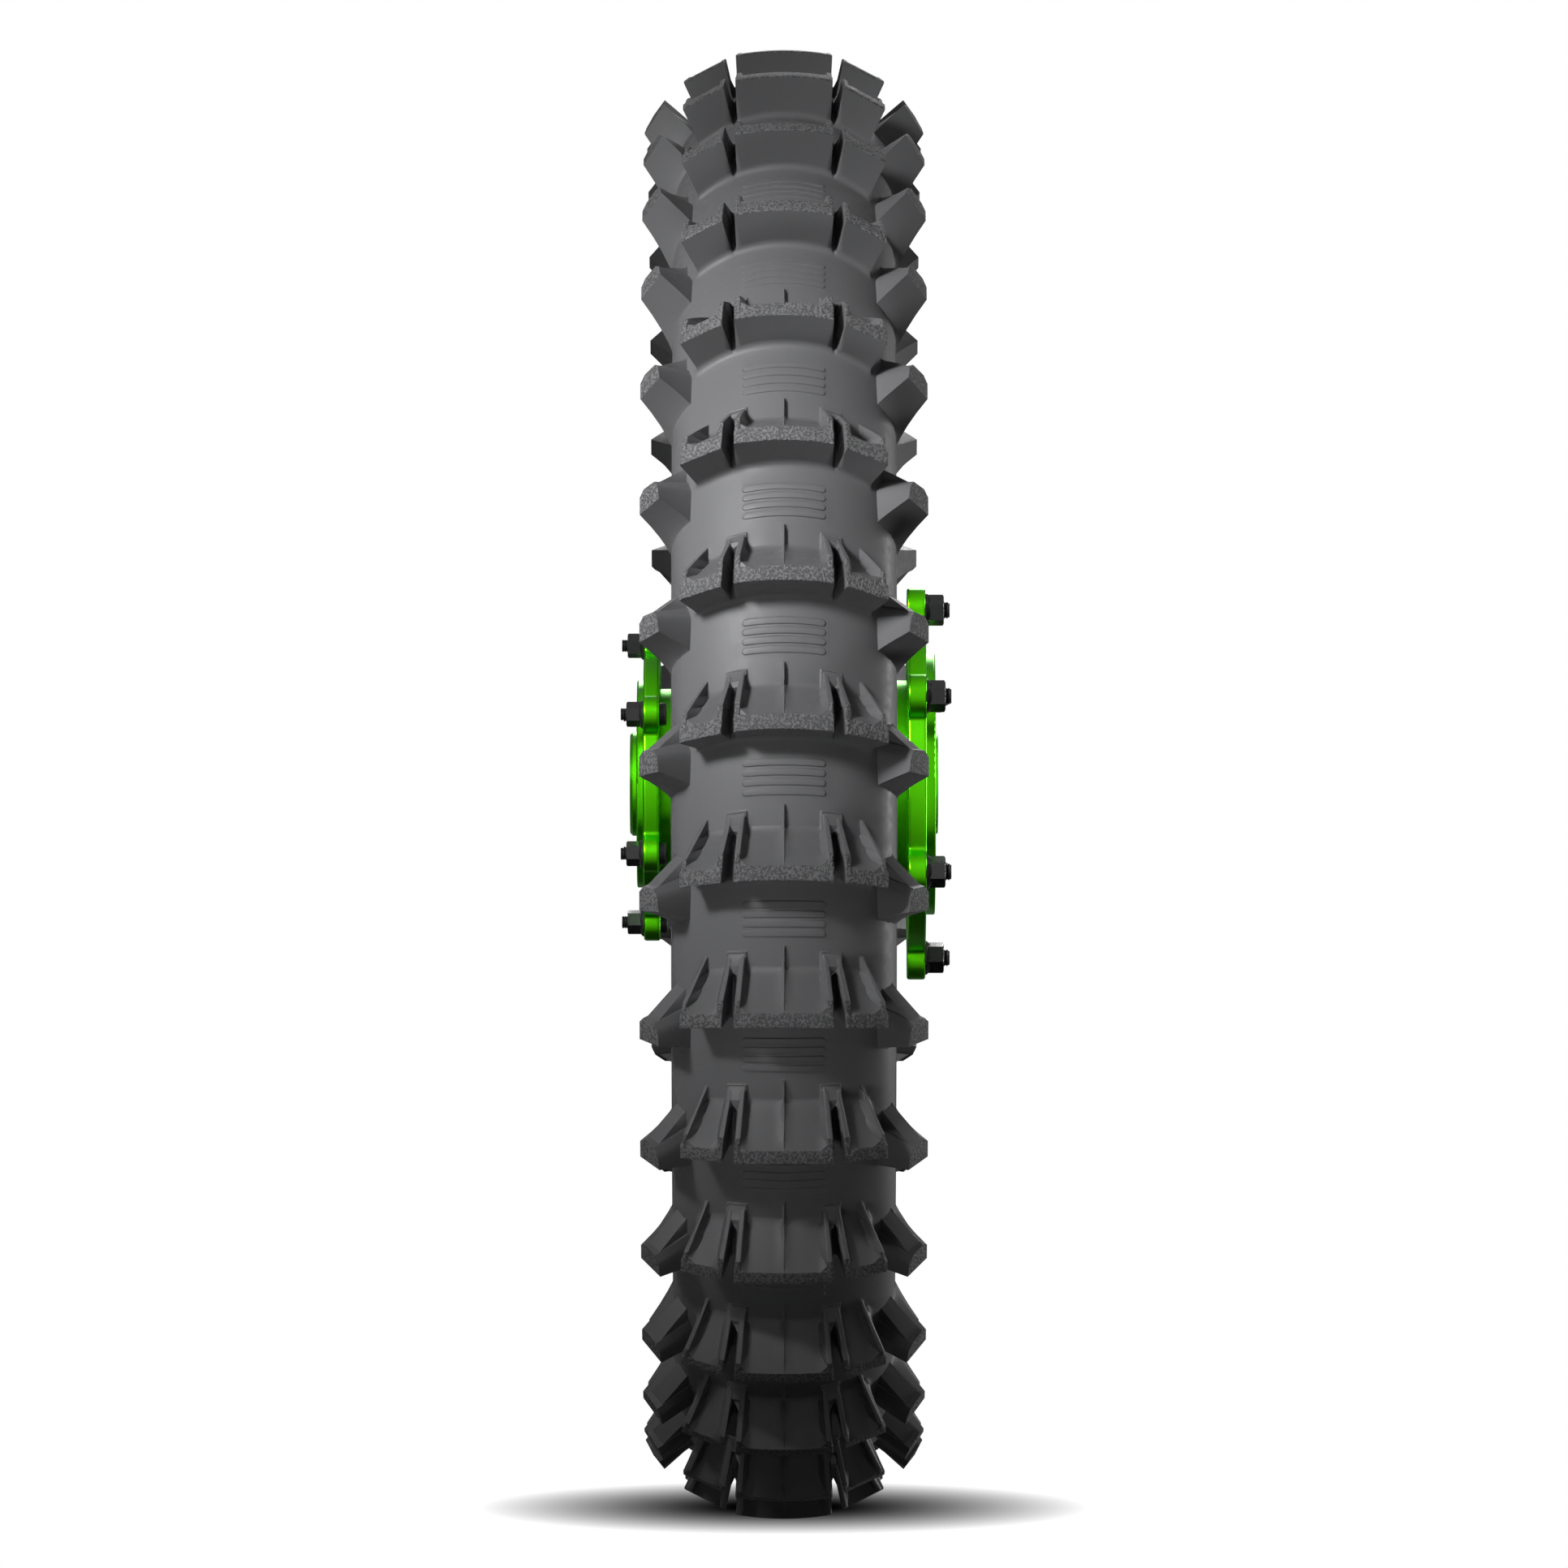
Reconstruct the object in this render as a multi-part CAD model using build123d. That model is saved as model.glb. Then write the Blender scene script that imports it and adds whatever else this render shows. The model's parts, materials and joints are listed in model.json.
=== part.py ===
from build123d import *
from math import atan2, cos, degrees, radians, sin
import os

# Off-road rear tyre, 110/90-19, mounted on its spoked wheel.
# The origin is the wheel's centre, the axle lies along Y and +Z is up. Lengths are in millimetres.
# Left is -Y, the brake disc side. Right is +Y, the sprocket side.

# Tyre section: (y, radius) about the wheel's middle plane.
OVERALL_RADIUS = 340.0
FLOOR_RADIUS = 321.0  # bottom of the tread between the knobs, in the middle plane
EQUATOR_RADIUS = 286.0  # where the carcass is widest
EQUATOR_HALF_WIDTH = 49.8
SHOULDER_ARC = 26.0  # radius of the section's arc from the crown down to the equator
LOWER_ARC = 32.5  # radius of the section's arc from the equator down to the bead
LOWER_ARC_TURN = 63.0  # degrees
TREAD_BASE = 5.0  # rubber under the tread's floor, and at the sidewall
CARCASS_THICKNESS = 3.0
TUBE_GAP = 0.4
TUBE_WALL = 3.0

# Bead section: (y, radius)
RIM_INSIDE_HALF = 27.3  # half of the rim's width between its flanges
BEAD_OUTSIDE = (RIM_INSIDE_HALF - 0.1, 254.4)
BEAD_TOE = (15.2, 241.1)
BEAD_HEEL = ((RIM_INSIDE_HALF - 0.1, 243.5), (25.4, 241.6))
BEAD_INSIDE = ((24.0, 256.0), (17.2, 244.5))
BEAD_WIRE_CENTRE = (22.8, 247.4)
BEAD_WIRE_RADIUS = 3.0
FLANGE_COVER = (29.8, 256.4)  # rubber that lies over the rim's edge
TUBE_LOWER = ((23.5, 256.3), (16.7, 245.0), (13.4, 241.4), (9.2, 235.7))
AIR_LOWER = ((20.9, 257.4), (14.0, 246.4), (7.7, 238.7))

# Tread pattern: one pitch repeats round the tyre. Along the tyre, a length t grows away from a
# knob's smooth front wall.
PITCHES = 32
FIRST_BAR_ANGLE = 4.65  # degrees from +X towards +Z to the middle of the first row's bar
BAR_THICKNESS = 6.9
ARM_LENGTH = 6.3  # full-height part of each arm behind the bar
ARM_WIDTH = 2.4
RIB_WIDTH = 2.1
SCOOP_LENGTH = 14.8  # the bar's sloping back, from its top edge to the floor
TAIL_LENGTH = 23.0  # the arms' sloping ribs end this far behind the bar
CENTRE_HALF_WIDTH = 22.0
CENTRE_TOP_ARC = 125.0
CENTRE_SCOOP_DEPTH = OVERALL_RADIUS - FLOOR_RADIUS + 1.5  # at the sloping back's lower end
MIDDLE_SCOOP_DEPTH = 23.0
CENTRE_RIB_DROP = 1.5  # the middle rib starts this far below the bar's top
TIE = (17.9, 25.5)  # the ties between two arms' tails run between these lengths behind the bar's middle
TIE_TOP = (322.8, 318.0)
TIE_Y = (17.0, 28.0)
MIDDLE_INNER = (27.8, 335.6)  # top corners of the knob beside the centre one
MIDDLE_OUTER = (46.4, 325.7)
MIDDLE_INNER_FOOT = (23.5, 318.2)  # where that knob's two side walls meet the floor
MIDDLE_OUTER_FOOT = (37.7, 308.8)
MIDDLE_TURN = 10.8  # degrees, the middle knobs' turn in plan
MIDDLE_LAG = 0.65  # degrees that the middle knobs lie behind the centre one
MIDDLE_EDGE = (50.0, 323.0)  # outside the middle knob's outer wall, in line with its top
SIDE_SECTION = ((39.0, 305.3), (55.4, 317.2), (63.9, 303.8), (49.6, 286.6), (38.0, 290.0))
SIDE_TOP_POINT = (59.6, 310.5)  # middle of the side knob's top face
SIDE_TOP_TILT = 32.6  # degrees from the axle's direction up to the side knob's own axis
SIDE_PROFILE = ((-3.2, -24.0), (5.1, 0.0), (13.5, 0.0), (28.5, -22.0), (28.5, -30.0), (-3.2, -30.0))
FIRST_SIDE_ANGLE = 0.0  # degrees, where the first side knob's profile has its zero

# Rim, 19 x 2.15
BEAD_SEAT_RADIUS = 241.3
WELL_RADIUS = 229.5
RIM_BED_RADIUS = 226.3
RIM_EDGE_ROUND = 2.2
TAPE_GAP = 3.8
TAPE_HALF_WIDTH = 10.0
TAPE_THICKNESS = 1.5

# Spokes: 36, each side half outer-run and half inner-run
SPOKES_PER_SIDE = 18
SPOKE_RADIUS = 1.8
SPOKE_CROSS_ANGLE = 60.0
SPOKE_BEND = 2.6
SPOKE_HEAD_RADIUS = 3.2
SPOKE_HEAD_HEIGHT = 1.8
HUB_HOLE_CIRCLE = 54.0
SPOKE_FLANGE = (36.0, 40.0)  # the hub's spoke flange runs between these distances from the middle
OUTER_RUN_Y = 45.0
INNER_RUN_Y = 33.6
OUTER_RUN_RIM_Y = 7.0
INNER_RUN_RIM_Y = 3.0
NIPPLE_SPHERE = 4.6
NIPPLE_CENTRE_RADIUS = 231.5
NIPPLE_SHANK = 3.0
NIPPLE_LENGTH = 16.0
NIPPLE_CROWN = 0.1  # the crown is cut flat this far above its ball's centre
NIPPLE_SLOT = (12.0, 1.2, 1.4)  # longer than the crown is wide, then width and twice the depth
SEAT_GAP = 0.06
RIM_HOLE_EVERY = 180.0 / SPOKES_PER_SIDE
FIRST_RIM_HOLE = {1: 5.0, -1: 15.0}

# Hub: the mounting flanges and bosses, distances from the middle plane
FLANGE_FACES = {1: (56.8, 65.4), -1: (57.2, 64.8)}
FLANGE_BASE_RADIUS = {1: 78.0, -1: 61.5}
BOLT_CIRCLE = {1: 80.5, -1: 64.0}  # radius
LOBE_RADIUS = {1: 10.1, -1: 8.6}
LOBE_FILLET = 2.0  # in the corner between a lobe and the flange
BOSS_RADIUS = {1: 60.5, -1: 48.0}
BOSS_FACE = {1: 69.8, -1: 67.9}
NECK_RADIUS = {1: 48.0, -1: 44.0}
BARREL_RADIUS = 29.0
HUB_FLARE = (26.0, 38.0)  # the barrel's end, and its radius where it meets the spoke flange
SPOKE_FLANGE_RADIUS = 60.0
NECK_END = 2.0  # the neck ends this far inside the mounting flange
HUB_BORE_RADIUS = 20.0
FLANGE_ROUND = 1.2
HUB_ROUND = 0.8
BOLTS_PER_SIDE = 6
FIRST_BOLT_ANGLE = 30.0

# Clearances
RUNNING_GAP = 0.3
SNUG_GAP = 0.05

# Fasteners: sprocket side is M8, disc side is M6
BOLT_RADIUS = {1: 4.0, -1: 3.0}
BOLT_HOLE_GAP = 0.2
BOLT_HEAD_RADIUS = {1: 6.5, -1: 5.25}
BOLT_HEAD_HEIGHT = {1: 4.4, -1: 3.3}
HEAD_RECESS = {1: 4.4, -1: 0.0}  # how deep the head lies in the flange
BOLT_SOCKET = {1: 5.0, -1: 4.0}
BOLT_SOCKET_DEPTH = 2.0
EDGE_CUT = 0.6  # chamfer on a bolt's head, a bolt's tip and a nut's top
BOLT_TIP_Y = {1: 76.7, -1: 74.9}
BOLT_TIP_STEP = 0.25  # the thread's end is this much thinner than the shank
NUT_ACROSS_FLATS = {1: 12.7, -1: 10.0}
NUT_FLANGE_RADIUS = {1: 7.9, -1: 6.6}
NUT_FLANGE_HEIGHT = {1: 2.2, -1: 1.8}
NUT_FLANGE_EDGE = 0.7
NUT_TOP_Y = {1: 74.0, -1: 72.4}
NUT_TURN_STEP = 11.0  # degrees from one nut's flats to the next one's

# Bearings 25 x 47 x 12, seals, circlip, distance tube and axle spacers
AXLE_RADIUS = 12.5
BEARING_RADIUS = 23.5
BEARING_WIDTH = 12.0
INNER_RACE_RADIUS = 15.1
OUTER_RACE_INSIDE = 20.9
BALL_RADIUS = 3.3
BALL_GAP = 0.15
BALLS = 9
FIRST_BALL_ANGLE = 30.0
CAGE_HALF_WIDTH = 4.3
CAGE_RADII = (17.2, 18.8)
CAGE_GAP = 0.1
SHIELD_THICKNESS = 0.6
SHIELD_RECESS = 0.2
BEARING_START = {"left": -60.5, "right_inner": 37.3, "right_outer": 49.3}
CIRCLIP_WIDTH = 1.5
CIRCLIP_GROOVE = 1.6
CIRCLIP_RADIUS = 24.6
CIRCLIP_INSIDE = 21.4
CIRCLIP_MOUTH = 9.0
SEAL_WIDTH = 6.6
SEAL_LIP = ((0.0, 1.0), (1.6, 0.0), (3.2, 1.0), (2.2, 3.0), (6.6, 3.6))  # (depth, rise) from the lip's edge
SPACER_FOOT_HEIGHT = 1.0  # the narrow foot that stands on the inner race
SPACER_SLEEVE_RADIUS = 17.5
SPACER_END = 71.2
SPACER_HEAD_RADIUS = {1: 23.0, -1: 24.0}
SPACER_CHAMFER = {1: 0.3, -1: 1.3}
DISTANCE_TUBE_RADIUS = 16.0

# Valve, at the top of the rim and pointing at the axle
VALVE_RADIUS = 4.0
VALVE_BASE_RADIUS = 7.4
VALVE_BASE = (238.7, 240.7)
VALVE_END = 192.5
VALVE_BORE = 2.6
VALVE_CORE_RADIUS = 2.1
VALVE_CORE = (195.6, 214.0)
VALVE_PIN_RADIUS = 0.7
VALVE_PIN = (193.0, 215.6)
VALVE_PIN_GAP = 0.05
VALVE_PIN_BUTTON = (1.1, 0.6)  # radius and height of the pin's pushed end
VALVE_PLUG_RADIUS = 1.8
VALVE_THREAD_LENGTH = 5.0
CAP_RADIUS = 5.2
CAP_BORE = 4.3
CAP = (190.0, 202.0)
CAP_FLOOR = 1.6
CAP_CHAMFER = 0.8
CAP_GROOVES = 16
CAP_GROOVE_RADIUS = 0.6
VALVE_NUT = (221.6, 226.0)
VALVE_NUT_FLATS = 12.0
RIM_HOLE_RADIUS = 4.3

# Rim lock, at the bottom of the rim
LOCK_LENGTH = 62.0
LOCK_SECTION = ((8.8, 236.2), (13.0, 241.8), (16.2, 244.4), (20.8, 252.2))
LOCK_BOLT_END = 196.0
LOCK_HEAD = (247.8, 251.8)
LOCK_HEAD_RADIUS = 8.0
LOCK_WASHER = (224.4, 226.0)
LOCK_WASHER_RADIUS = 9.0
LOCK_NUT = (217.8, 224.4)
LOCK_NUT_FLATS = 13.0
LOCK_POCKET_GAP = 0.5

CROWN_DROP = FLOOR_RADIUS - EQUATOR_RADIUS
SHOULDER_CENTRE = (EQUATOR_HALF_WIDTH - SHOULDER_ARC, EQUATOR_RADIUS)
CROWN_ARC = (CROWN_DROP**2 + SHOULDER_CENTRE[0] ** 2 - SHOULDER_ARC**2) / (2 * (CROWN_DROP - SHOULDER_ARC))
CROWN_CENTRE = (0.0, FLOOR_RADIUS - CROWN_ARC)
JOIN_ANGLE = degrees(atan2(EQUATOR_RADIUS - CROWN_CENTRE[1], SHOULDER_CENTRE[0]))
LOWER_CENTRE = (EQUATOR_HALF_WIDTH - LOWER_ARC, EQUATOR_RADIUS)
CARCASS_INSET = TREAD_BASE + CARCASS_THICKNESS
UPRIGHT = (Align.CENTER, Align.CENTER, Align.MIN)
SECTION = Plane.YZ  # its first direction is y, its second is the radius straight up from the axle
SIDES = {"left": -1, "right": 1}
PITCH_ANGLE = 360.0 / PITCHES
KNOB_REACH = 40.0  # longer than half a side knob, both across the tyre and along it
LOW = 292.0  # below the tread's floor and above the carcass's inside, where knobs are cut off
HIGH = OVERALL_RADIUS + 5.0


def about_axle(angle):
    """Turn something drawn at the top of the wheel to this angle from +X towards +Z."""
    return Rot(Y=90.0 - angle)


def turned(lines):
    """Solid turned about the axle from the closed section that these lines make."""
    return revolve(SECTION * make_face(lines), Axis.Y)


def ring(points):
    """Solid turned about the axle from an outline of (y, radius) points."""
    return turned(Polyline(*points, close=True))


def tube_between(y_low, y_high, inner, outer):
    """Plain ring, or a plain disc where the inner radius is 0."""
    return ring(((y_low, inner), (y_high, inner), (y_high, outer), (y_low, outer)))


def post(low, high, radius):
    """Round bar standing at the top of the wheel, between two distances from the axle."""
    return Pos(Z=low) * Cylinder(radius, high - low, align=UPRIGHT)


def hexagon_post(low, high, across_flats):
    """Hexagonal bar standing at the top of the wheel."""
    outline = RegularPolygon(across_flats / 2, 6, major_radius=False)
    return Pos(Z=low) * extrude(outline, high - low)


def other_half(points):
    """The same points on the other side of the middle plane, in reverse order."""
    return tuple((-y, r) for y, r in reversed(points))


def on_arc(centre, radius, angle):
    """Point of a section's arc, at an angle from the y direction towards the crown."""
    return (centre[0] + radius * cos(radians(angle)), centre[1] + radius * sin(radians(angle)))


def crown_lines(inset):
    """The tyre's section from equator to equator over the crown, moved inwards by inset."""
    shoulder = SHOULDER_ARC - inset
    half = [on_arc(SHOULDER_CENTRE, shoulder, angle) for angle in (0.0, JOIN_ANGLE / 2, JOIN_ANGLE)]
    top = on_arc(CROWN_CENTRE, CROWN_ARC - inset, 90.0)
    far_half = other_half(half)
    return [ThreePointArc(*half), ThreePointArc(half[2], top, far_half[0]), ThreePointArc(*far_half)]


def lower_lines(inset, points):
    """One side of the tyre's section from the equator down to the bead: an arc, then these points."""
    start, middle, end = (
        on_arc(LOWER_CENTRE, LOWER_ARC - inset, -LOWER_ARC_TURN * share) for share in (0.0, 0.5, 1.0)
    )
    return [ThreePointArc(start, middle, end), Polyline(end, *points)]


def both_sides(lines):
    """Lines of the right half of a section, with their mirror images on the left."""
    return list(lines) + [mirror(line, Plane.YZ) for line in lines]


# Tyre


def tread_band():
    """The rubber under the knobs, from equator to equator."""
    outer, inner = EQUATOR_HALF_WIDTH, EQUATOR_HALF_WIDTH - TREAD_BASE
    seam = Line((inner, EQUATOR_RADIUS), (outer, EQUATOR_RADIUS))
    return turned(crown_lines(0.0) + crown_lines(TREAD_BASE) + both_sides([seam]))


def tread_core():
    """Everything inside the middle of the tread band, where no knob reaches."""
    inset = TREAD_BASE / 2
    half_width = EQUATOR_HALF_WIDTH - inset
    return turned(crown_lines(inset) + [Line((half_width, EQUATOR_RADIUS), (-half_width, EQUATOR_RADIUS))])


def knob_envelope():
    """Everything between the middle of the tread band and the tops of the three crown knobs."""
    centre_drop = CENTRE_TOP_ARC - (CENTRE_TOP_ARC**2 - CENTRE_HALF_WIDTH**2) ** 0.5
    centre_edge = (CENTRE_HALF_WIDTH, OVERALL_RADIUS - centre_drop)
    arc = ThreePointArc(centre_edge, (0.0, OVERALL_RADIUS), *other_half([centre_edge]))
    foot = (MIDDLE_EDGE[0], LOW)
    side = Polyline(centre_edge, MIDDLE_INNER, MIDDLE_OUTER, MIDDLE_EDGE, foot)
    bottom = Line(foot, (-foot[0], LOW))
    return turned([arc, bottom] + both_sides([side])) - tread_core()


def slab(profile, y_low, y_high):
    """Slice of a knob at the top of the wheel: a profile of (t, radius) points, drawn out along y."""
    plane = Plane(origin=(0, y_low, 0), x_dir=(-1, 0, 0), z_dir=(0, 1, 0))
    return extrude(plane * make_face(Polyline(*profile, close=True)), y_high - y_low)


def scoop_profile(top, floor, length):
    """A bar with a smooth front wall and a back that slopes from its top edge to the floor."""
    front, back = -BAR_THICKNESS / 2, BAR_THICKNESS / 2
    end = back + length
    return ((front, LOW), (front, HIGH), (back, HIGH), (back, top), (end, floor), (end, LOW))


def arm_profile(top, floor):
    """An arm that stays full height behind the bar and then slopes down as a rib."""
    level, tail = BAR_THICKNESS / 2 + ARM_LENGTH, BAR_THICKNESS / 2 + TAIL_LENGTH
    return ((0.0, LOW), (0.0, HIGH), (level, HIGH), (level, top), (tail, floor), (tail, LOW))


def centre_knob():
    """U-shaped knob in the tyre's middle: a bar with a sloping back between two arms, and a rib."""
    half_width, top = CENTRE_HALF_WIDTH, OVERALL_RADIUS
    floor = top - CENTRE_SCOOP_DEPTH
    knob = slab(scoop_profile(top, floor, SCOOP_LENGTH), -half_width, half_width)
    for y in (-half_width, half_width - ARM_WIDTH):
        knob += slab(arm_profile(top, floor), y, y + ARM_WIDTH)
    back = BAR_THICKNESS / 2
    rib_top, rib_end = top - CENTRE_RIB_DROP, back + TAIL_LENGTH
    rib = ((0.0, LOW), (0.0, rib_top), (back, rib_top), (rib_end, FLOOR_RADIUS), (rib_end, LOW))
    return knob + slab(rib, -RIB_WIDTH / 2, RIB_WIDTH / 2)


def wall(top, foot, shift=0.0):
    """A knob's side wall as a line through its top and foot points, moved across by shift."""
    slope = (top[0] - foot[0]) / (top[1] - foot[1])
    return [(top[0] + shift + slope * (radius - top[1]), radius) for radius in (LOW, HIGH)]


def leaning_slab(profile, inner, outer):
    """Slice of a knob between two walls that lean."""
    across = SECTION * make_face(Polyline(*inner, *outer[::-1], close=True))
    return slab(profile, 0.0, HIGH) & extrude(across, KNOB_REACH, both=True)


def middle_knob():
    """The right-hand one of the two knobs beside the centre one."""
    top = (MIDDLE_OUTER[1] + MIDDLE_INNER[1]) / 2
    floor = top - MIDDLE_SCOOP_DEPTH
    inner, outer = wall(MIDDLE_INNER, MIDDLE_INNER_FOOT), wall(MIDDLE_OUTER, MIDDLE_OUTER_FOOT)
    inner_arm = wall(MIDDLE_INNER, MIDDLE_INNER_FOOT, ARM_WIDTH)
    outer_arm = wall(MIDDLE_OUTER, MIDDLE_OUTER_FOOT, -ARM_WIDTH)
    knob = leaning_slab(scoop_profile(top, floor, SCOOP_LENGTH), inner, outer)
    knob += leaning_slab(arm_profile(top, floor), inner, inner_arm)
    knob += leaning_slab(arm_profile(top, floor), outer_arm, outer)
    middle = (MIDDLE_INNER[0] + MIDDLE_OUTER[0]) / 2
    turned_in_plan = Pos(Y=middle) * Rot(Z=-MIDDLE_TURN) * Pos(Y=-middle) * knob
    return about_axle(90.0 - MIDDLE_LAG) * turned_in_plan


def crown_knobs():
    """One row's centre knob, the knob on each side of it and the ties that join them at the tail."""
    tie = slab(((TIE[0], LOW), (TIE[0], TIE_TOP[0]), (TIE[1], TIE_TOP[1]), (TIE[1], LOW)), *TIE_Y)
    middle = middle_knob()
    row = centre_knob() + tie + middle
    row += mirror(tie, Plane.XZ) + mirror(middle, Plane.XZ)
    return row & knob_envelope()


def side_knob():
    """The right shoulder's knob: its section across the tyre, cut to its profile along the tyre."""
    across = SECTION * make_face(Polyline(*SIDE_SECTION, close=True))
    tilt = radians(SIDE_TOP_TILT)
    plane = Plane(origin=(0, *SIDE_TOP_POINT), x_dir=(-1, 0, 0), z_dir=(0, sin(tilt), -cos(tilt)))
    along = plane * make_face(Polyline(*SIDE_PROFILE, close=True))
    knob = extrude(across, KNOB_REACH, both=True) & extrude(along, KNOB_REACH, both=True)
    return knob - tread_core()


def tire_tread():
    row = crown_knobs()
    right_knob = side_knob()
    left_knob = mirror(right_knob, Plane.XZ)
    knobs = []
    for pitch in range(PITCHES):
        turn = pitch * PITCH_ANGLE
        knobs += (about_axle(FIRST_BAR_ANGLE + turn) * row).solids()
        knobs.append(about_axle(FIRST_SIDE_ANGLE + turn) * right_knob)
        knobs.append(about_axle(FIRST_SIDE_ANGLE + turn) * left_knob)
    return tread_band().fuse(*knobs)


def bead_wire(side):
    circle = Pos(side * BEAD_WIRE_CENTRE[0], BEAD_WIRE_CENTRE[1]) * Circle(BEAD_WIRE_RADIUS)
    return revolve(SECTION * circle, Axis.Y)


def tire_carcass():
    """The cord casing from bead to bead, without the bead wires that it is folded round."""
    outside = lower_lines(TREAD_BASE, (BEAD_OUTSIDE, *BEAD_HEEL, BEAD_TOE))
    inside = lower_lines(CARCASS_INSET, BEAD_INSIDE)
    base = Line(BEAD_TOE, BEAD_INSIDE[-1])
    crown = crown_lines(TREAD_BASE) + crown_lines(CARCASS_INSET)
    casing = turned(crown + both_sides(outside + inside + [base]))
    return casing - bead_wire(-1) - bead_wire(1)


def tire_sidewall(side):
    """The rubber outside the casing from the tread's edge down over the rim's edge."""
    outside = lower_lines(0.0, (FLANGE_COVER, BEAD_OUTSIDE))
    inside = lower_lines(TREAD_BASE, (BEAD_OUTSIDE,))
    seam_inside = EQUATOR_HALF_WIDTH - TREAD_BASE
    seam = Line((seam_inside, EQUATOR_RADIUS), (EQUATOR_HALF_WIDTH, EQUATOR_RADIUS))
    wall = turned(outside + inside + [seam])
    return wall if side > 0 else mirror(wall, Plane.XZ)


def closed_torus(inset, points):
    """Ring that fills the tyre's inside to this inset, with a flat base across the rim's well."""
    base = Line(points[-1], (-points[-1][0], points[-1][1]))
    return turned(crown_lines(inset) + both_sides(lower_lines(inset, points)) + [base])


def lock_room(gap):
    """Block of space that the tube leaves round the rim lock, at the bottom of the wheel."""
    height = LOCK_SECTION[-1][1] + gap
    block = Pos(Z=height / 2) * Box(LOCK_LENGTH + 8 * gap, 2 * RIM_INSIDE_HALF, height)
    return about_axle(270.0) * block


def inner_tube():
    wall_inset = CARCASS_INSET + TUBE_GAP
    outer = closed_torus(wall_inset, TUBE_LOWER) - lock_room(LOCK_POCKET_GAP)
    air = closed_torus(wall_inset + TUBE_WALL, AIR_LOWER) - lock_room(LOCK_POCKET_GAP + TUBE_WALL)
    return outer - air - post(VALVE_END, BEAD_SEAT_RADIUS, VALVE_RADIUS + SNUG_GAP)


# Rim and spokes


def rim_section():
    """One half of the rim's outline: the tyre's side from the well out, then the hub's side back."""
    tyre_side = ((10.5, WELL_RADIUS), (14.0, 240.6), (25.3, BEAD_SEAT_RADIUS))
    flange = ((RIM_INSIDE_HALF, 243.3), (RIM_INSIDE_HALF, 255.0), (33.6, 255.0), (33.6, 250.2))
    hub_side = ((31.0, 250.2), (30.6, 242.0), (27.4, 238.2), (17.0, 237.0), (13.2, RIM_BED_RADIUS))
    return tyre_side + flange + hub_side


def spoke_lay(run):
    """The turn from a spoke's rim end to its hub end, then its bend's, rim end's and head's distances
    from the middle plane."""
    low, high = SPOKE_FLANGE
    if run == "outer":
        return -SPOKE_CROSS_ANGLE, OUTER_RUN_Y, OUTER_RUN_RIM_Y, low - SPOKE_HEAD_HEIGHT
    return SPOKE_CROSS_ANGLE, INNER_RUN_Y, INNER_RUN_RIM_Y, high + SPOKE_HEAD_HEIGHT


def wheel_point(angle, radius, y):
    """Point at this angle from +X towards +Z."""
    return Vector(radius * cos(radians(angle)), y, radius * sin(radians(angle)))


def rim_angles(side, run):
    """The angles of this set's nine holes in the rim."""
    first = FIRST_RIM_HOLE[side] + (0.0 if run == "outer" else 2 * RIM_HOLE_EVERY)
    return [first + 4 * RIM_HOLE_EVERY * n for n in range(SPOKES_PER_SIDE // 2)]


def spoke_line(side, run, angle):
    """The spoke's three points: its head, its bend at the hub and its end in the nipple."""
    lag, hub_y, rim_y, head_y = spoke_lay(run)
    head = wheel_point(angle + lag, HUB_HOLE_CIRCLE, side * head_y)
    bend = wheel_point(angle + lag, HUB_HOLE_CIRCLE, side * hub_y)
    end = wheel_point(angle, NIPPLE_CENTRE_RADIUS, side * rim_y)
    return head, bend, end


def spoke(side, run, angle):
    head, bend, end = spoke_line(side, run, angle)
    inward = (head - bend).normalized()
    start = head - inward * (SPOKE_HEAD_HEIGHT / 2)
    path = FilletPolyline(start, bend, end, radius=SPOKE_BEND)
    wire = sweep(Plane(origin=start, z_dir=bend - start) * Circle(SPOKE_RADIUS), path)
    cap = Plane(origin=head, z_dir=bend - head) * Circle(SPOKE_HEAD_RADIUS)
    return wire + extrude(cap, SPOKE_HEAD_HEIGHT - SNUG_GAP)


def spokes(side, run):
    """Nine equal spokes, every fourth hole of the rim."""
    angles = rim_angles(side, run)
    first = spoke(side, run, angles[0])
    return Compound(children=[Rot(Y=angles[0] - angle) * first for angle in angles])


def nipple_places():
    """A plane for every nipple, at its ball's centre, with z pointing out along its spoke."""
    places = []
    for side in SIDES.values():
        for run in ("outer", "inner"):
            for angle in rim_angles(side, run):
                _, bend, end = spoke_line(side, run, angle)
                places.append(Plane(origin=end, z_dir=end - bend))
    return places


def nipple_blank(gap):
    """A nipple's ball and shank, made larger all round by gap."""
    shank = Cylinder(NIPPLE_SHANK + gap, NIPPLE_LENGTH, align=(Align.CENTER, Align.CENTER, Align.MAX))
    return Sphere(NIPPLE_SPHERE + gap) + shank


def spoke_nipples():
    above = Pos(Z=NIPPLE_CROWN) * Cylinder(2 * NIPPLE_SPHERE, NIPPLE_SPHERE, align=UPRIGHT)
    slot = Pos(Z=NIPPLE_CROWN) * Box(*NIPPLE_SLOT)
    bore = Cylinder(SPOKE_RADIUS + SNUG_GAP, 3 * NIPPLE_LENGTH)
    nipple = nipple_blank(0.0) - above - slot - bore
    return Compound(children=[place.location * nipple for place in nipple_places()])


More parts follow.
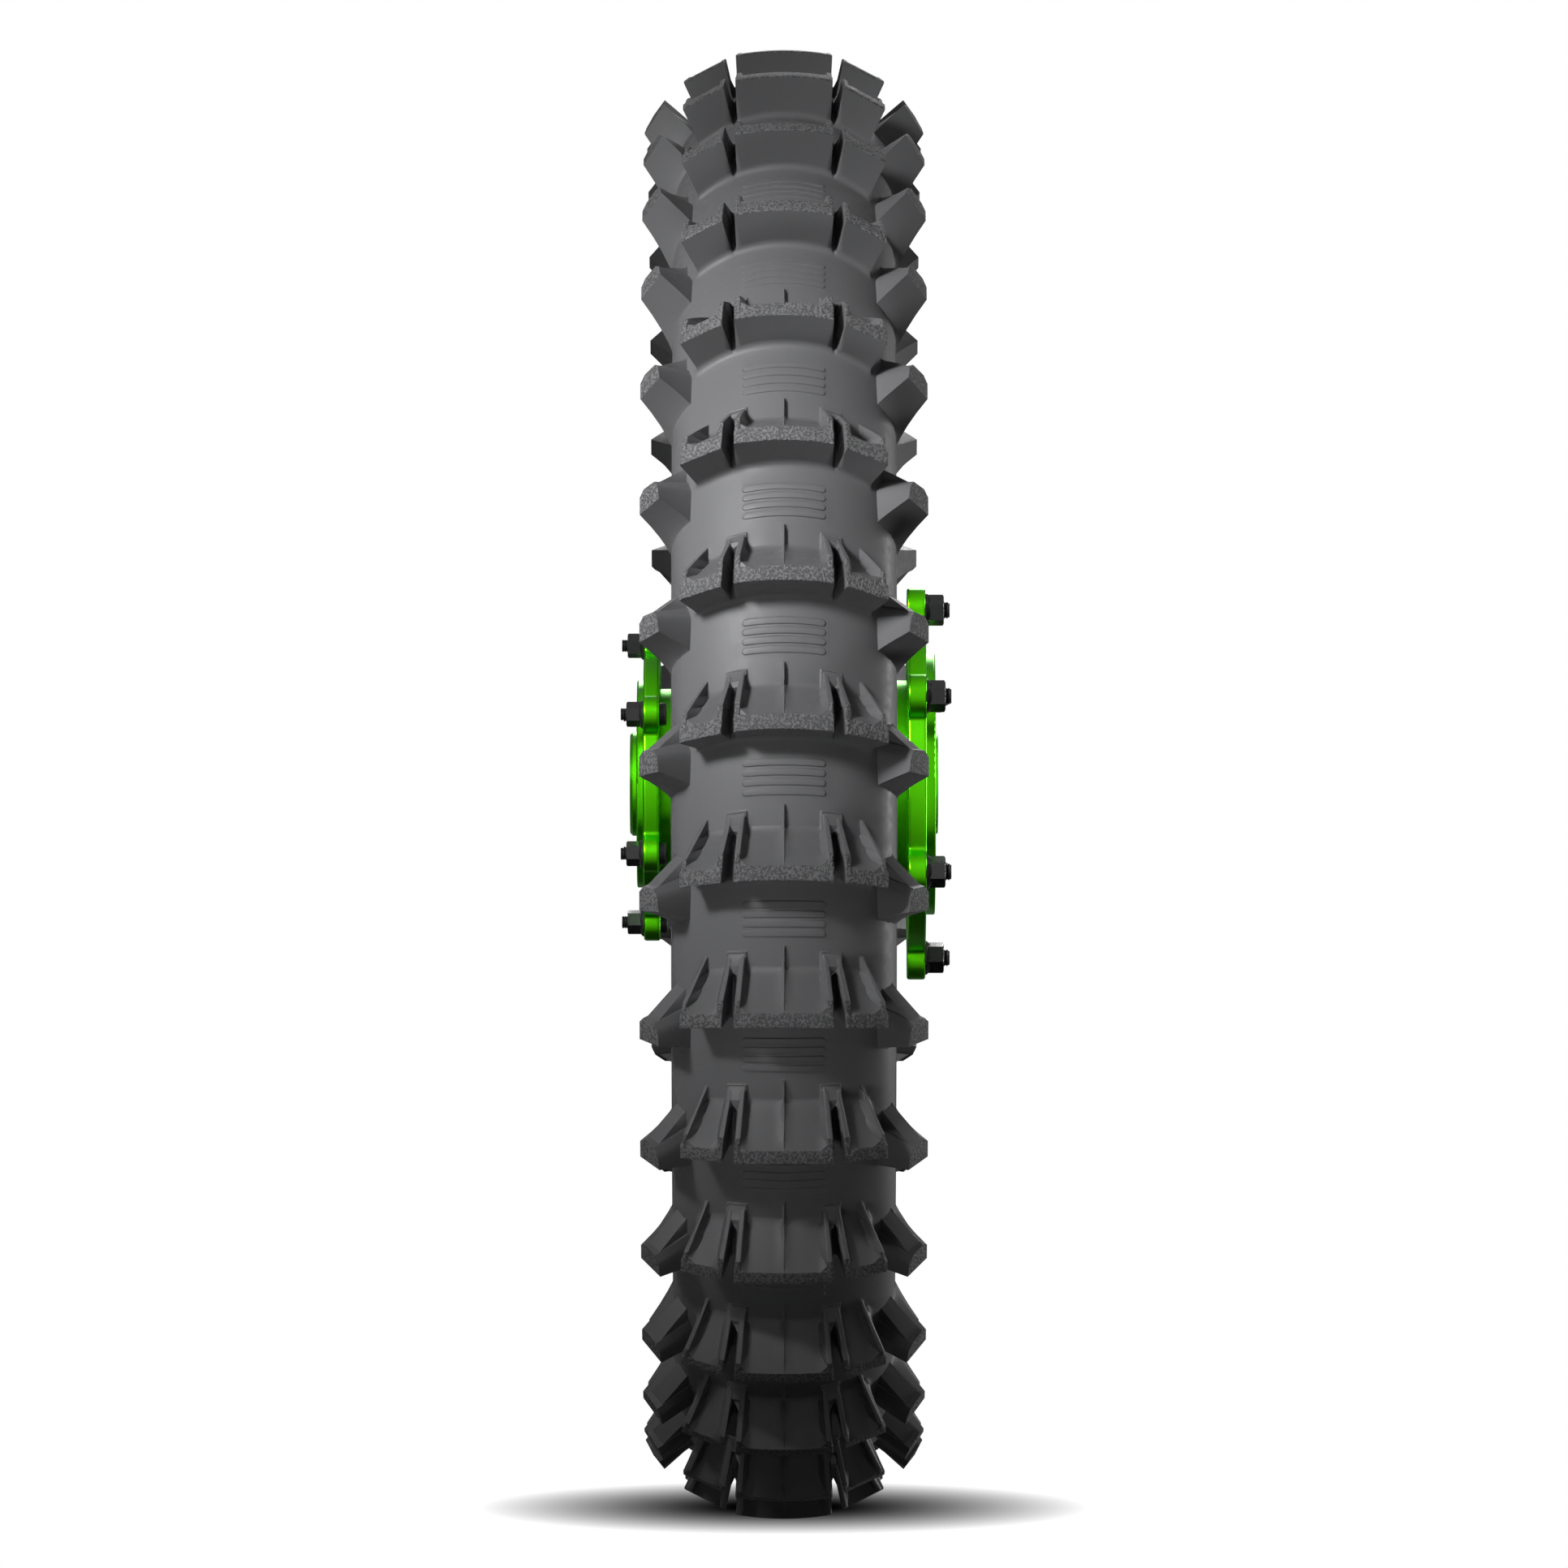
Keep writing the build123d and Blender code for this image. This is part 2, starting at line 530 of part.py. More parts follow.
def rim():
    half = rim_section()
    outline = SECTION * make_face(Polyline(*half, *other_half(half), close=True))
    outline = fillet(outline.vertices().group_by(Axis.Z)[-1], RIM_EDGE_ROUND)
    holes = [place.location * nipple_blank(SEAT_GAP) for place in nipple_places()]
    stem_hole = post(VALVE_END, BEAD_SEAT_RADIUS, RIM_HOLE_RADIUS)
    holes += [stem_hole, about_axle(270.0) * stem_hole]
    return revolve(outline, Axis.Y).cut(*holes)


def rim_tape():
    low = WELL_RADIUS + TAPE_GAP
    band = tube_between(-TAPE_HALF_WIDTH, TAPE_HALF_WIDTH, low, low + TAPE_THICKNESS)
    hole = post(VALVE_END, BEAD_SEAT_RADIUS, RIM_HOLE_RADIUS + RUNNING_GAP)
    return band - hole - about_axle(270.0) * hole


# Valve and rim lock


def valve_stem():
    stem = post(VALVE_END, VALVE_BASE[1], VALVE_RADIUS) + post(*VALVE_BASE, VALVE_BASE_RADIUS)
    return stem - post(VALVE_END, VALVE_BASE[1], VALVE_BORE)


def valve_core():
    thread = post(VALVE_CORE[0], VALVE_CORE[0] + VALVE_THREAD_LENGTH, VALVE_BORE)
    body = post(*VALVE_CORE, VALVE_CORE_RADIUS)
    return thread + body - post(*VALVE_CORE, VALVE_PIN_RADIUS + VALVE_PIN_GAP)


def valve_pin():
    low, high = VALVE_PIN
    button_radius, button_height = VALVE_PIN_BUTTON
    plug = post(VALVE_CORE[1] + VALVE_PIN_GAP, high, VALVE_PLUG_RADIUS)
    return post(low, high, VALVE_PIN_RADIUS) + post(low, low + button_height, button_radius) + plug


def valve_cap():
    cap = post(*CAP, CAP_RADIUS)
    cap = chamfer(cap.faces().sort_by(Axis.Z)[0].edges(), CAP_CHAMFER)
    groove = post(CAP[0] + CAP_FLOOR, CAP[1], CAP_GROOVE_RADIUS)
    for place in PolarLocations(CAP_RADIUS + CAP_GROOVE_RADIUS / 2, CAP_GROOVES):
        cap -= place * groove
    return cap - post(CAP[0] + CAP_FLOOR, CAP[1], CAP_BORE)


def valve_nut():
    return hexagon_post(*VALVE_NUT, VALVE_NUT_FLATS) - post(*VALVE_NUT, VALVE_RADIUS + SNUG_GAP)


def rim_lock_bolt():
    shank = post(LOCK_BOLT_END, LOCK_HEAD[1], VALVE_RADIUS)
    return about_axle(270.0) * (shank + post(*LOCK_HEAD, LOCK_HEAD_RADIUS))


def rim_lock_shoe():
    """Wedge between the two beads that the bolt pulls against them."""
    outline = SECTION * make_face(Polyline(*LOCK_SECTION, *other_half(LOCK_SECTION), close=True))
    wedge = extrude(outline, LOCK_LENGTH / 2, both=True)
    shank = post(LOCK_BOLT_END, LOCK_HEAD[1], VALVE_RADIUS + SNUG_GAP)
    pocket = post(LOCK_HEAD[0], LOCK_SECTION[-1][1], LOCK_HEAD_RADIUS + SNUG_GAP)
    return about_axle(270.0) * (wedge - shank - pocket)


def rim_lock_washer():
    washer = post(*LOCK_WASHER, LOCK_WASHER_RADIUS) - post(*LOCK_WASHER, RIM_HOLE_RADIUS)
    return about_axle(270.0) * washer


def rim_lock_nut():
    nut = hexagon_post(*LOCK_NUT, LOCK_NUT_FLATS) - post(*LOCK_NUT, VALVE_RADIUS + SNUG_GAP)
    return about_axle(270.0) * nut


# Hub and its bolts


def bolt_places(side):
    """Where the mounting bolts stand on one side's flange."""
    step = 360.0 / BOLTS_PER_SIDE
    angles = [FIRST_BOLT_ANGLE + step * n for n in range(BOLTS_PER_SIDE)]
    return [Location(wheel_point(angle, BOLT_CIRCLE[side], 0.0)) for angle in angles]


def disc_stack(side, levels):
    """Turned piece about the axle from (distance from the middle, radius) points and the axle itself."""
    first, last = levels[0][0], levels[-1][0]
    return ring([(side * y, radius) for y, radius in ((first, 0.0), *levels, (last, 0.0))])


def plain_disc(side, low, high, radius):
    """Round disc on the axle's line between two distances from the middle, on one side."""
    return disc_stack(side, ((low, radius), (high, radius)))


def mounting_flange(side):
    """Round flange with a lobe for every bolt, and rounded rims."""
    low, high = FLANGE_FACES[side]
    outline = Circle(FLANGE_BASE_RADIUS[side])
    for place in PolarLocations(BOLT_CIRCLE[side], BOLTS_PER_SIDE, FIRST_BOLT_ANGLE):
        outline += place * Circle(LOBE_RADIUS[side])
    outline = fillet(outline.vertices(), LOBE_FILLET)
    plane = Plane(origin=(0, side * low, 0), x_dir=(1, 0, 0), z_dir=(0, side, 0))
    flange = extrude(plane * outline, high - low)
    return fillet(flange.faces().filter_by(Axis.Y).edges(), FLANGE_ROUND)


def hub_half(side):
    """Outline of one half of the hub's turned body, from the barrel out to the boss's face."""
    low, high = SPOKE_FLANGE
    neck, boss, face = NECK_RADIUS[side], BOSS_RADIUS[side], BOSS_FACE[side]
    step = FLANGE_FACES[side][0] + NECK_END
    barrel_end, spoke_flange_foot = HUB_FLARE
    inside = ((barrel_end, BARREL_RADIUS), (low, spoke_flange_foot))
    inside += ((low, SPOKE_FLANGE_RADIUS), (high, SPOKE_FLANGE_RADIUS))
    outside = ((high, neck), (step, neck), (step, boss), (face, boss), (face, HUB_BORE_RADIUS))
    return inside + outside


def hub_body():
    outline = SECTION * make_face(Polyline(*hub_half(1), *other_half(hub_half(-1)), close=True))
    corners = [corner for corner in outline.vertices() if corner.Z > BARREL_RADIUS - HUB_ROUND]
    return revolve(fillet(corners, HUB_ROUND), Axis.Y)


def spoke_holes():
    """The hub's holes for the spokes' heads, eighteen in each spoke flange."""
    low, high = SPOKE_FLANGE
    holes = []
    for side in SIDES.values():
        hole = plain_disc(side, low, high, SPOKE_RADIUS + RUNNING_GAP)
        for run in ("outer", "inner"):
            lag = spoke_lay(run)[0]
            for angle in rim_angles(side, run):
                holes.append(Location(wheel_point(angle + lag, HUB_HOLE_CIRCLE, 0.0)) * hole)
    return holes


def bolt_holes(side):
    """Clearance holes through one flange, with recesses where the bolts' heads lie in it."""
    low, high = FLANGE_FACES[side]
    hole = plain_disc(side, low, high, BOLT_RADIUS[side] + BOLT_HOLE_GAP)
    recess = HEAD_RECESS[side]
    if recess:
        hole += plain_disc(side, low, low + recess, BOLT_HEAD_RADIUS[side] + BOLT_HOLE_GAP)
    return [place * hole for place in bolt_places(side)]


def bearing_bores():
    """Seats for the bearings and seals, and the circlip's groove."""
    left_end = BEARING_START["left"] + BEARING_WIDTH
    right_start = BEARING_START["right_inner"]
    groove_start = BEARING_START["right_outer"] + BEARING_WIDTH
    groove_end = groove_start + CIRCLIP_GROOVE
    return [
        tube_between(-BOSS_FACE[-1], left_end, 0.0, BEARING_RADIUS),
        tube_between(right_start, BOSS_FACE[1], 0.0, BEARING_RADIUS),
        tube_between(groove_start, groove_end, 0.0, CIRCLIP_RADIUS + BOLT_HOLE_GAP),
    ]


def hub():
    body = hub_body() + mounting_flange(-1) + mounting_flange(1)
    return body.cut(*bearing_bores(), *spoke_holes(), *bolt_holes(-1), *bolt_holes(1))


def flange_bolts(side):
    """Six bolts through one mounting flange, their heads on its inner side."""
    head_low = FLANGE_FACES[side][0] + HEAD_RECESS[side] - BOLT_HEAD_HEIGHT[side]
    head_high = head_low + BOLT_HEAD_HEIGHT[side]
    head, shank = BOLT_HEAD_RADIUS[side], BOLT_RADIUS[side]
    tip, end = shank - BOLT_TIP_STEP, BOLT_TIP_Y[side]
    levels = ((head_low, head - EDGE_CUT), (head_low + EDGE_CUT, head), (head_high, head))
    levels += ((head_high, shank), (NUT_TOP_Y[side], shank), (NUT_TOP_Y[side], tip))
    levels += ((end - EDGE_CUT, tip), (end, tip - EDGE_CUT))
    socket = Plane.XZ * RegularPolygon(BOLT_SOCKET[side] / 2, 6, major_radius=False)
    socket = Pos(Y=side * head_low) * extrude(socket, BOLT_SOCKET_DEPTH, both=True)
    bolt = disc_stack(side, levels) - socket
    return Compound(children=[place * bolt for place in bolt_places(side)])


def flange_nuts(side):
    """Six hexagon nuts with a washer face, on one mounting flange's outer side."""
    seat, top = FLANGE_FACES[side][1], NUT_TOP_Y[side]
    flats, bore = NUT_ACROSS_FLATS[side], BOLT_RADIUS[side] + SNUG_GAP
    plane = Plane(origin=(0, side * seat, 0), x_dir=(1, 0, 0), z_dir=(0, side, 0))
    prism = extrude(plane * RegularPolygon(flats / 2, 6, major_radius=False), top - seat)
    corner = flats / 2 / cos(radians(30.0))
    crown = disc_stack(side, ((seat, corner), (top - EDGE_CUT, corner), (top, flats / 2)))
    wide, foot_top = NUT_FLANGE_RADIUS[side], seat + NUT_FLANGE_HEIGHT[side]
    foot = disc_stack(side, ((seat, wide), (seat + NUT_FLANGE_EDGE, wide), (foot_top, flats / 2)))
    nut = (prism & crown) + foot - plain_disc(side, seat, top, bore)
    nuts = [place * Rot(Y=NUT_TURN_STEP * n) * nut for n, place in enumerate(bolt_places(side))]
    return Compound(children=nuts)


# Bearings and what lies on the axle


def ball_track(start):
    """The ring of space that a bearing's balls run in."""
    ball_circle = (INNER_RACE_RADIUS + OUTER_RACE_INSIDE) / 2
    return Pos(Y=start + BEARING_WIDTH / 2) * Rot(X=90.0) * Torus(ball_circle, BALL_RADIUS + BALL_GAP)


def bearing_outer_race(start):
    return tube_between(start, start + BEARING_WIDTH, OUTER_RACE_INSIDE, BEARING_RADIUS) - ball_track(start)


def bearing_inner_race(start):
    return tube_between(start, start + BEARING_WIDTH, AXLE_RADIUS, INNER_RACE_RADIUS) - ball_track(start)


def ball_centres(start):
    ball_circle = (INNER_RACE_RADIUS + OUTER_RACE_INSIDE) / 2
    angles = [FIRST_BALL_ANGLE + 360.0 / BALLS * n for n in range(BALLS)]
    return [Location(wheel_point(angle, ball_circle, start + BEARING_WIDTH / 2)) for angle in angles]


def bearing_balls(start):
    return Compound(children=[place * Sphere(BALL_RADIUS) for place in ball_centres(start)])


def bearing_cage(start):
    middle = start + BEARING_WIDTH / 2
    band = tube_between(middle - CAGE_HALF_WIDTH, middle + CAGE_HALF_WIDTH, *CAGE_RADII)
    pocket = Sphere(BALL_RADIUS + CAGE_GAP)
    return band.cut(*[place * pocket for place in ball_centres(start)])


def bearing_shields(start):
    """The thin rubber rings that close both faces of a bearing, held in its outer race."""
    low, high = start + SHIELD_RECESS, start + BEARING_WIDTH - SHIELD_RECESS - SHIELD_THICKNESS
    inner = INNER_RACE_RADIUS + RUNNING_GAP
    rings = [tube_between(y, y + SHIELD_THICKNESS, inner, OUTER_RACE_INSIDE) for y in (low, high)]
    return Compound(children=rings)


def distance_tube():
    """Keeps the inner races apart when the axle is tightened."""
    low = BEARING_START["left"] + BEARING_WIDTH
    return tube_between(low, BEARING_START["right_inner"], AXLE_RADIUS, DISTANCE_TUBE_RADIUS)


def bearing_face(side):
    """Distance from the middle to the outermost bearing's outer face on this side."""
    return BEARING_START["right_outer"] + BEARING_WIDTH if side > 0 else -BEARING_START["left"]


def axle_spacer(side):
    """Stepped sleeve between the outer bearing and the swing arm, with a round head outside the hub."""
    foot, end, cut = bearing_face(side), SPACER_END, SPACER_CHAMFER[side]
    step = foot + SPACER_FOOT_HEIGHT
    head_low, head = BOSS_FACE[side] + RUNNING_GAP, SPACER_HEAD_RADIUS[side]
    levels = ((foot, INNER_RACE_RADIUS), (step, INNER_RACE_RADIUS), (step, SPACER_SLEEVE_RADIUS))
    levels += ((head_low, SPACER_SLEEVE_RADIUS), (head_low, head), (end - cut, head), (end, head - cut))
    return disc_stack(side, levels) - plain_disc(side, foot, end, AXLE_RADIUS)


def oil_seal(side):
    """Rubber ring in the hub's mouth, whose lip runs just clear of the spacer's sleeve."""
    high = BOSS_FACE[side]
    low = high - SEAL_WIDTH
    lip = SPACER_SLEEVE_RADIUS + RUNNING_GAP
    points = [(low, BEARING_RADIUS), (high, BEARING_RADIUS)]
    points += [(high - depth, lip + rise) for depth, rise in SEAL_LIP]
    return ring([(side * y, radius) for y, radius in points])


def bearing_circlip():
    """Open spring ring that holds the right bearings in the hub."""
    low = bearing_face(1)
    band = tube_between(low, low + CIRCLIP_WIDTH, CIRCLIP_INSIDE, CIRCLIP_RADIUS)
    mouth = Pos(Y=low, Z=-CIRCLIP_RADIUS) * Box(CIRCLIP_MOUTH, 4 * CIRCLIP_WIDTH, CIRCLIP_RADIUS)
    return band - mouth


def bearing_pieces(name, start):
    """One bearing's five nodes."""
    prefix = f"bearing_{name}"
    return {
        f"{prefix}_outer_race": bearing_outer_race(start),
        f"{prefix}_inner_race": bearing_inner_race(start),
        f"{prefix}_balls": bearing_balls(start),
        f"{prefix}_cage": bearing_cage(start),
        f"{prefix}_shields": bearing_shields(start),
    }


def all_pieces():
    """Every node's name with its solids."""
    pieces = {
        "tire_tread": tire_tread(),
        "tire_carcass": tire_carcass(),
        "inner_tube": inner_tube(),
        "rim": rim(),
        "rim_tape": rim_tape(),
        "spoke_nipples": spoke_nipples(),
        "valve_stem": valve_stem(),
        "valve_core": valve_core(),
        "valve_pin": valve_pin(),
        "valve_cap": valve_cap(),
        "valve_nut": valve_nut(),
        "rim_lock_shoe": rim_lock_shoe(),
        "rim_lock_bolt": rim_lock_bolt(),
        "rim_lock_washer": rim_lock_washer(),
        "rim_lock_nut": rim_lock_nut(),
        "hub": hub(),
        "distance_tube": distance_tube(),
        "bearing_circlip": bearing_circlip(),
    }
    for name, side in SIDES.items():
        pieces[f"tire_sidewall_{name}"] = tire_sidewall(side)
        pieces[f"bead_wire_{name}"] = bead_wire(side)
        pieces[f"oil_seal_{name}"] = oil_seal(side)
        pieces[f"axle_spacer_{name}"] = axle_spacer(side)
        for run in ("outer", "inner"):
            pieces[f"spokes_{name}_{run}"] = spokes(side, run)
    for part_name, side in (("sprocket", 1), ("disc", -1)):
        pieces[f"{part_name}_bolts"] = flange_bolts(side)
        pieces[f"{part_name}_nuts"] = flange_nuts(side)
    for name, start in BEARING_START.items():
        pieces.update(bearing_pieces(name, start))
    return pieces


os.makedirs("parts", exist_ok=True)
for node, solids in all_pieces().items():
    export_step(solids, f"parts/{node}.step")
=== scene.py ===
from collections import namedtuple
import json
import math
import bmesh
import bpy
import numpy as np
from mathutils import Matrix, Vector
from mathutils.geometry import delaunay_2d_cdt


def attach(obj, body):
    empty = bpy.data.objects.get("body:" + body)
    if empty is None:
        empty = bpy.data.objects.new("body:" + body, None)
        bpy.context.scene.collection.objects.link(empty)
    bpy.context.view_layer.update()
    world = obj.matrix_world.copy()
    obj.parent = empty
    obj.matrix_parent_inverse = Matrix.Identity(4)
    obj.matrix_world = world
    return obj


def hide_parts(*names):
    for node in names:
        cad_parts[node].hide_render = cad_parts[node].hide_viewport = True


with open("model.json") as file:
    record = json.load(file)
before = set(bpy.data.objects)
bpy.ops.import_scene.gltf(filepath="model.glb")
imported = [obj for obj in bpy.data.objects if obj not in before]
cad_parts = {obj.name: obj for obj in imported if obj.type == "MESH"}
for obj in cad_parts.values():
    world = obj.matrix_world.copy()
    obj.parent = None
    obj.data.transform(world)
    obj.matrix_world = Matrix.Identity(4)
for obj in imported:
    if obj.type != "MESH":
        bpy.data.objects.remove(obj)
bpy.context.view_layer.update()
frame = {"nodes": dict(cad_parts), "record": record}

# Lengths are in millimetres and angles in degrees; add_mesh() turns points into metres. Only the
# lights' places and sizes are in metres, and their powers in watts. A point of the wheel is
# (y, radius, angle): y along the axle, and the angle from +X towards +Z.
MM = 0.001
TINY = 1e-9

# Tyre section: three arcs, by their radii, from the middle of the tread down to the bead
FLOOR_RADIUS = 321.0
CROWN_ARC = 61.97
SHOULDER_ARC = 26.0
SHOULDER_Y = 23.8  # the shoulder arc's centre is this far from the middle plane
EQUATOR_RADIUS = 286.0
LOWER_ARC = 32.5
LOWER_ARC_TURN = 63.0

# Tread pattern
PITCHES = 32
PITCH_ANGLE = 360.0 / PITCHES
FIRST_BAR_ANGLE = 4.65
OVERALL_RADIUS = 340.0
CENTRE_TOP_ARC = 125.0  # radius of the centre knobs' tops across the tyre
CENTRE_TOP_EDGE = 24.0  # beyond this y the tops are straight slopes
MIDDLE_TOP_START = (27.7, 335.5)  # (y, radius) of a point on that slope
MIDDLE_TOP_SLOPE = 0.51
HEIGHT_GUESS = 19.0
HEIGHT_ROUNDS = 6

# Crown patch: across the tyre a length a is measured along the floor from its middle. Walls stand
# on the floor at an angle that grows outwards, and the rows curve back, both by the same power.
EDGE = 39.5
LEAN_AT_EDGE = 28.7
LEAN_LIMIT = 75.0
LAG_AT_EDGE = 5.6
FAN_POWER = 2.4
PATCH_START = -34.6  # the patch's end along the tyre, where there is only floor
PATCH_GRID = (17, 14)  # steps across and along

# Moulded edges: the round along a top, which takes at most a share of a low block's height, as the
# fillet round its foot does, and the steps inwards and outwards at which their lines are drawn
TOP_ROUND = 0.6
ROUND_LIMIT = 0.4
FILLET_LIMIT = 0.8
ROUND_STEPS = (1.0, 0.5, 0.13, 0.0)
FILLET_STEPS = (0.1, 0.32, 0.64, 1.0)

# How finely the crown is meshed
SPACING = 2.6
CORNER_SPACING = 1.6
CORNER_TURN = 0.5  # radians
GRID_GAP = 1.4
HIDDEN = 0.08  # a line this far under another block isn't drawn
SNAP = 1e-4  # points of a patch closer than this are one
WELD = 0.01  # and so are points this close where pitches meet
CREASE_ANGLE = 38.0

# What follows from these
CROWN_CENTRE = FLOOR_RADIUS - CROWN_ARC
JOIN = math.atan2(SHOULDER_Y, EQUATOR_RADIUS - CROWN_CENTRE)  # radians
CROWN_END = CROWN_ARC * JOIN
SECTION_END = CROWN_END + SHOULDER_ARC * (math.pi / 2 - JOIN)
PITCH_LENGTH = OVERALL_RADIUS * math.radians(PITCH_ANGLE)


def floor_point(a):
    """(y, radius) of the tread's floor at a length a from the middle."""
    a = np.asarray(a, float)
    crown = a <= CROWN_END
    turn = np.where(crown, a / CROWN_ARC, JOIN + (a - CROWN_END) / SHOULDER_ARC)
    y = np.where(crown, CROWN_ARC * np.sin(turn), SHOULDER_Y + SHOULDER_ARC * np.sin(turn))
    radius = np.where(
        crown, CROWN_CENTRE + CROWN_ARC * np.cos(turn), EQUATOR_RADIUS + SHOULDER_ARC * np.cos(turn)
    )
    return y, radius


def lean(a):
    """Angle from straight up of the walls that stand at a, in radians."""
    return np.radians(np.minimum(LEAN_AT_EDGE * (a / EDGE) ** FAN_POWER, LEAN_LIMIT))


def crown_top(y):
    """Radius of the crown knobs' tops."""
    start_y, start_radius = MIDDLE_TOP_START
    middle = start_radius - MIDDLE_TOP_SLOPE * (y - start_y)
    centre = OVERALL_RADIUS - CENTRE_TOP_ARC + np.sqrt(np.maximum(CENTRE_TOP_ARC**2 - y**2, 0.0))
    return np.where(y < CENTRE_TOP_EDGE, centre, middle)


def full_height(a):
    """Height of the crown knobs' tops above the floor, along the lean."""
    y, radius = floor_point(a)
    height = np.full_like(y, HEIGHT_GUESS)
    for _ in range(HEIGHT_ROUNDS):
        height = (crown_top(y + height * np.sin(lean(a))) - radius) / np.cos(lean(a))
    return height


def crown_place(a, s, height):
    """The wheel's points from points of the crown patch."""
    y, radius = floor_point(a)
    lag = LAG_AT_EDGE * (a / EDGE) ** FAN_POWER
    angle = FIRST_BAR_ANGLE + np.degrees((s - lag) / OVERALL_RADIUS)
    return y + height * np.sin(lean(a)), radius + height * np.cos(lean(a)), angle


# Blocks: a convex top outline and a foot outline with as many corners, in the patch's plane. The
# height is a function of points, and the fillet is a radius.

Block = namedtuple("Block", "top foot height fillet")


def corners_and_normals(outline):
    """The outline's corners, and the outward direction of the edge that leaves each of them."""
    corners = np.array(outline, float)
    along = np.roll(corners, -1, axis=0) - corners
    along /= np.linalg.norm(along, axis=1)[:, None]
    return corners, np.stack([along[:, 1], -along[:, 0]], axis=1)


def edge_distances(points, outline):
    """Signed distance of every point to the line of every edge, negative inside."""
    start, outward = corners_and_normals(outline)
    return np.einsum("pek,ek->pe", points[:, None, :] - start[None], outward)


def outside_distance(points, outline):
    """Distance to the outline for points outside it, and 0 inside."""
    start = np.array(outline, float)
    along = np.roll(start, -1, axis=0) - start
    offset = points[:, None, :] - start[None]
    share = np.clip(np.einsum("pek,ek->pe", offset, along) / (along**2).sum(axis=1), 0.0, 1.0)
    gap = np.linalg.norm(offset - share[:, :, None] * along[None], axis=2).min(axis=1)
    return np.where(edge_distances(points, outline).max(axis=1) > 0.0, gap, 0.0)


def drafted_block(outline, height, foot):
    """Block whose foot is wider than its top by the same draft all round."""
    draft, fillet = foot
    return Block(outline, sharp_offset(outline, draft), height, fillet)


def block_height(points, block):
    """Height of a block's surface: its top, rounded edge, wall and foot fillet."""
    full = np.maximum(block.height(points), 0.0)
    edge = np.minimum(TOP_ROUND, ROUND_LIMIT * full)
    fillet = np.minimum(block.fillet, FILLET_LIMIT * full) + TINY
    to_top, to_foot = edge_distances(points, block.top), edge_distances(points, block.foot)
    inset = np.clip(to_top.max(axis=1) + edge, 0.0, edge)
    rounded = full - (edge - np.sqrt(np.maximum(edge**2 - inset**2, 0.0)))
    down = np.clip(to_top / np.maximum(to_top - to_foot, TINY), 0.0, 1.0)
    wall = fillet + (full - edge - fillet) * (1.0 - down).min(axis=1)
    out = outside_distance(points, block.foot)
    curve = fillet - np.sqrt(np.maximum(fillet**2 - np.maximum(fillet - out, 0.0) ** 2, 0.0))
    beyond = np.where(out < fillet, curve, 0.0)
    return np.where(to_top.max(axis=1) <= 0.0, rounded, np.where(out <= 0.0, wall, beyond))


def surface_height(points, blocks):
    """Height of the highest block over every point."""
    return np.stack([block_height(points, block) for block in blocks]).max(axis=0)


def sharp_offset(outline, distance):
    """The outline's corners after every edge has moved outwards."""
    corners, outward = corners_and_normals(outline)
    before = np.roll(outward, 1, axis=0)
    scale = distance / (1.0 + (before * outward).sum(axis=1))
    return corners + (before + outward) * scale[:, None]


def round_offset(outline, distance):
    """Points of the outline moved outwards, with round corners."""
    corners, outward = corners_and_normals(outline)
    loop = []
    for corner, before, after in zip(corners, np.roll(outward, 1, axis=0), outward):
        turn = math.acos(max(-1.0, min(1.0, before @ after)))
        steps = max(1, math.ceil(turn * distance / CORNER_SPACING), round(turn / CORNER_TURN))
        for angle in np.linspace(0.0, turn, steps + 1):
            cosine, sine = math.cos(angle), math.sin(angle)
            way = (before[0] * cosine - before[1] * sine, before[0] * sine + before[1] * cosine)
            loop.append(corner + np.array(way) * distance)
    return np.array(loop)


def contours(block):
    """The loops along which a block's surface bends."""
    full = block.height(np.array(block.top, float)).max()
    edge, fillet = min(TOP_ROUND, ROUND_LIMIT * full), min(block.fillet, FILLET_LIMIT * full)
    loops = [sharp_offset(block.top, -edge * step) for step in ROUND_STEPS]
    loops.append(block.foot)
    return loops + [round_offset(block.foot, fillet * step) for step in FILLET_STEPS]


def resampled(loop):
    """The closed loop with extra points so that no step is longer than SPACING."""
    points = []
    for start, end in zip(loop, np.roll(loop, -1, axis=0)):
        steps = max(1, math.ceil(np.linalg.norm(end - start) / SPACING))
        points += [start + (end - start) * k / steps for k in range(steps)]
    return np.array(points)


def guide_points(start, end):
    """A straight run of points no further than SPACING apart."""
    steps = max(1, math.ceil(math.dist(start, end) / SPACING))
    return np.linspace(start, end, steps + 1)


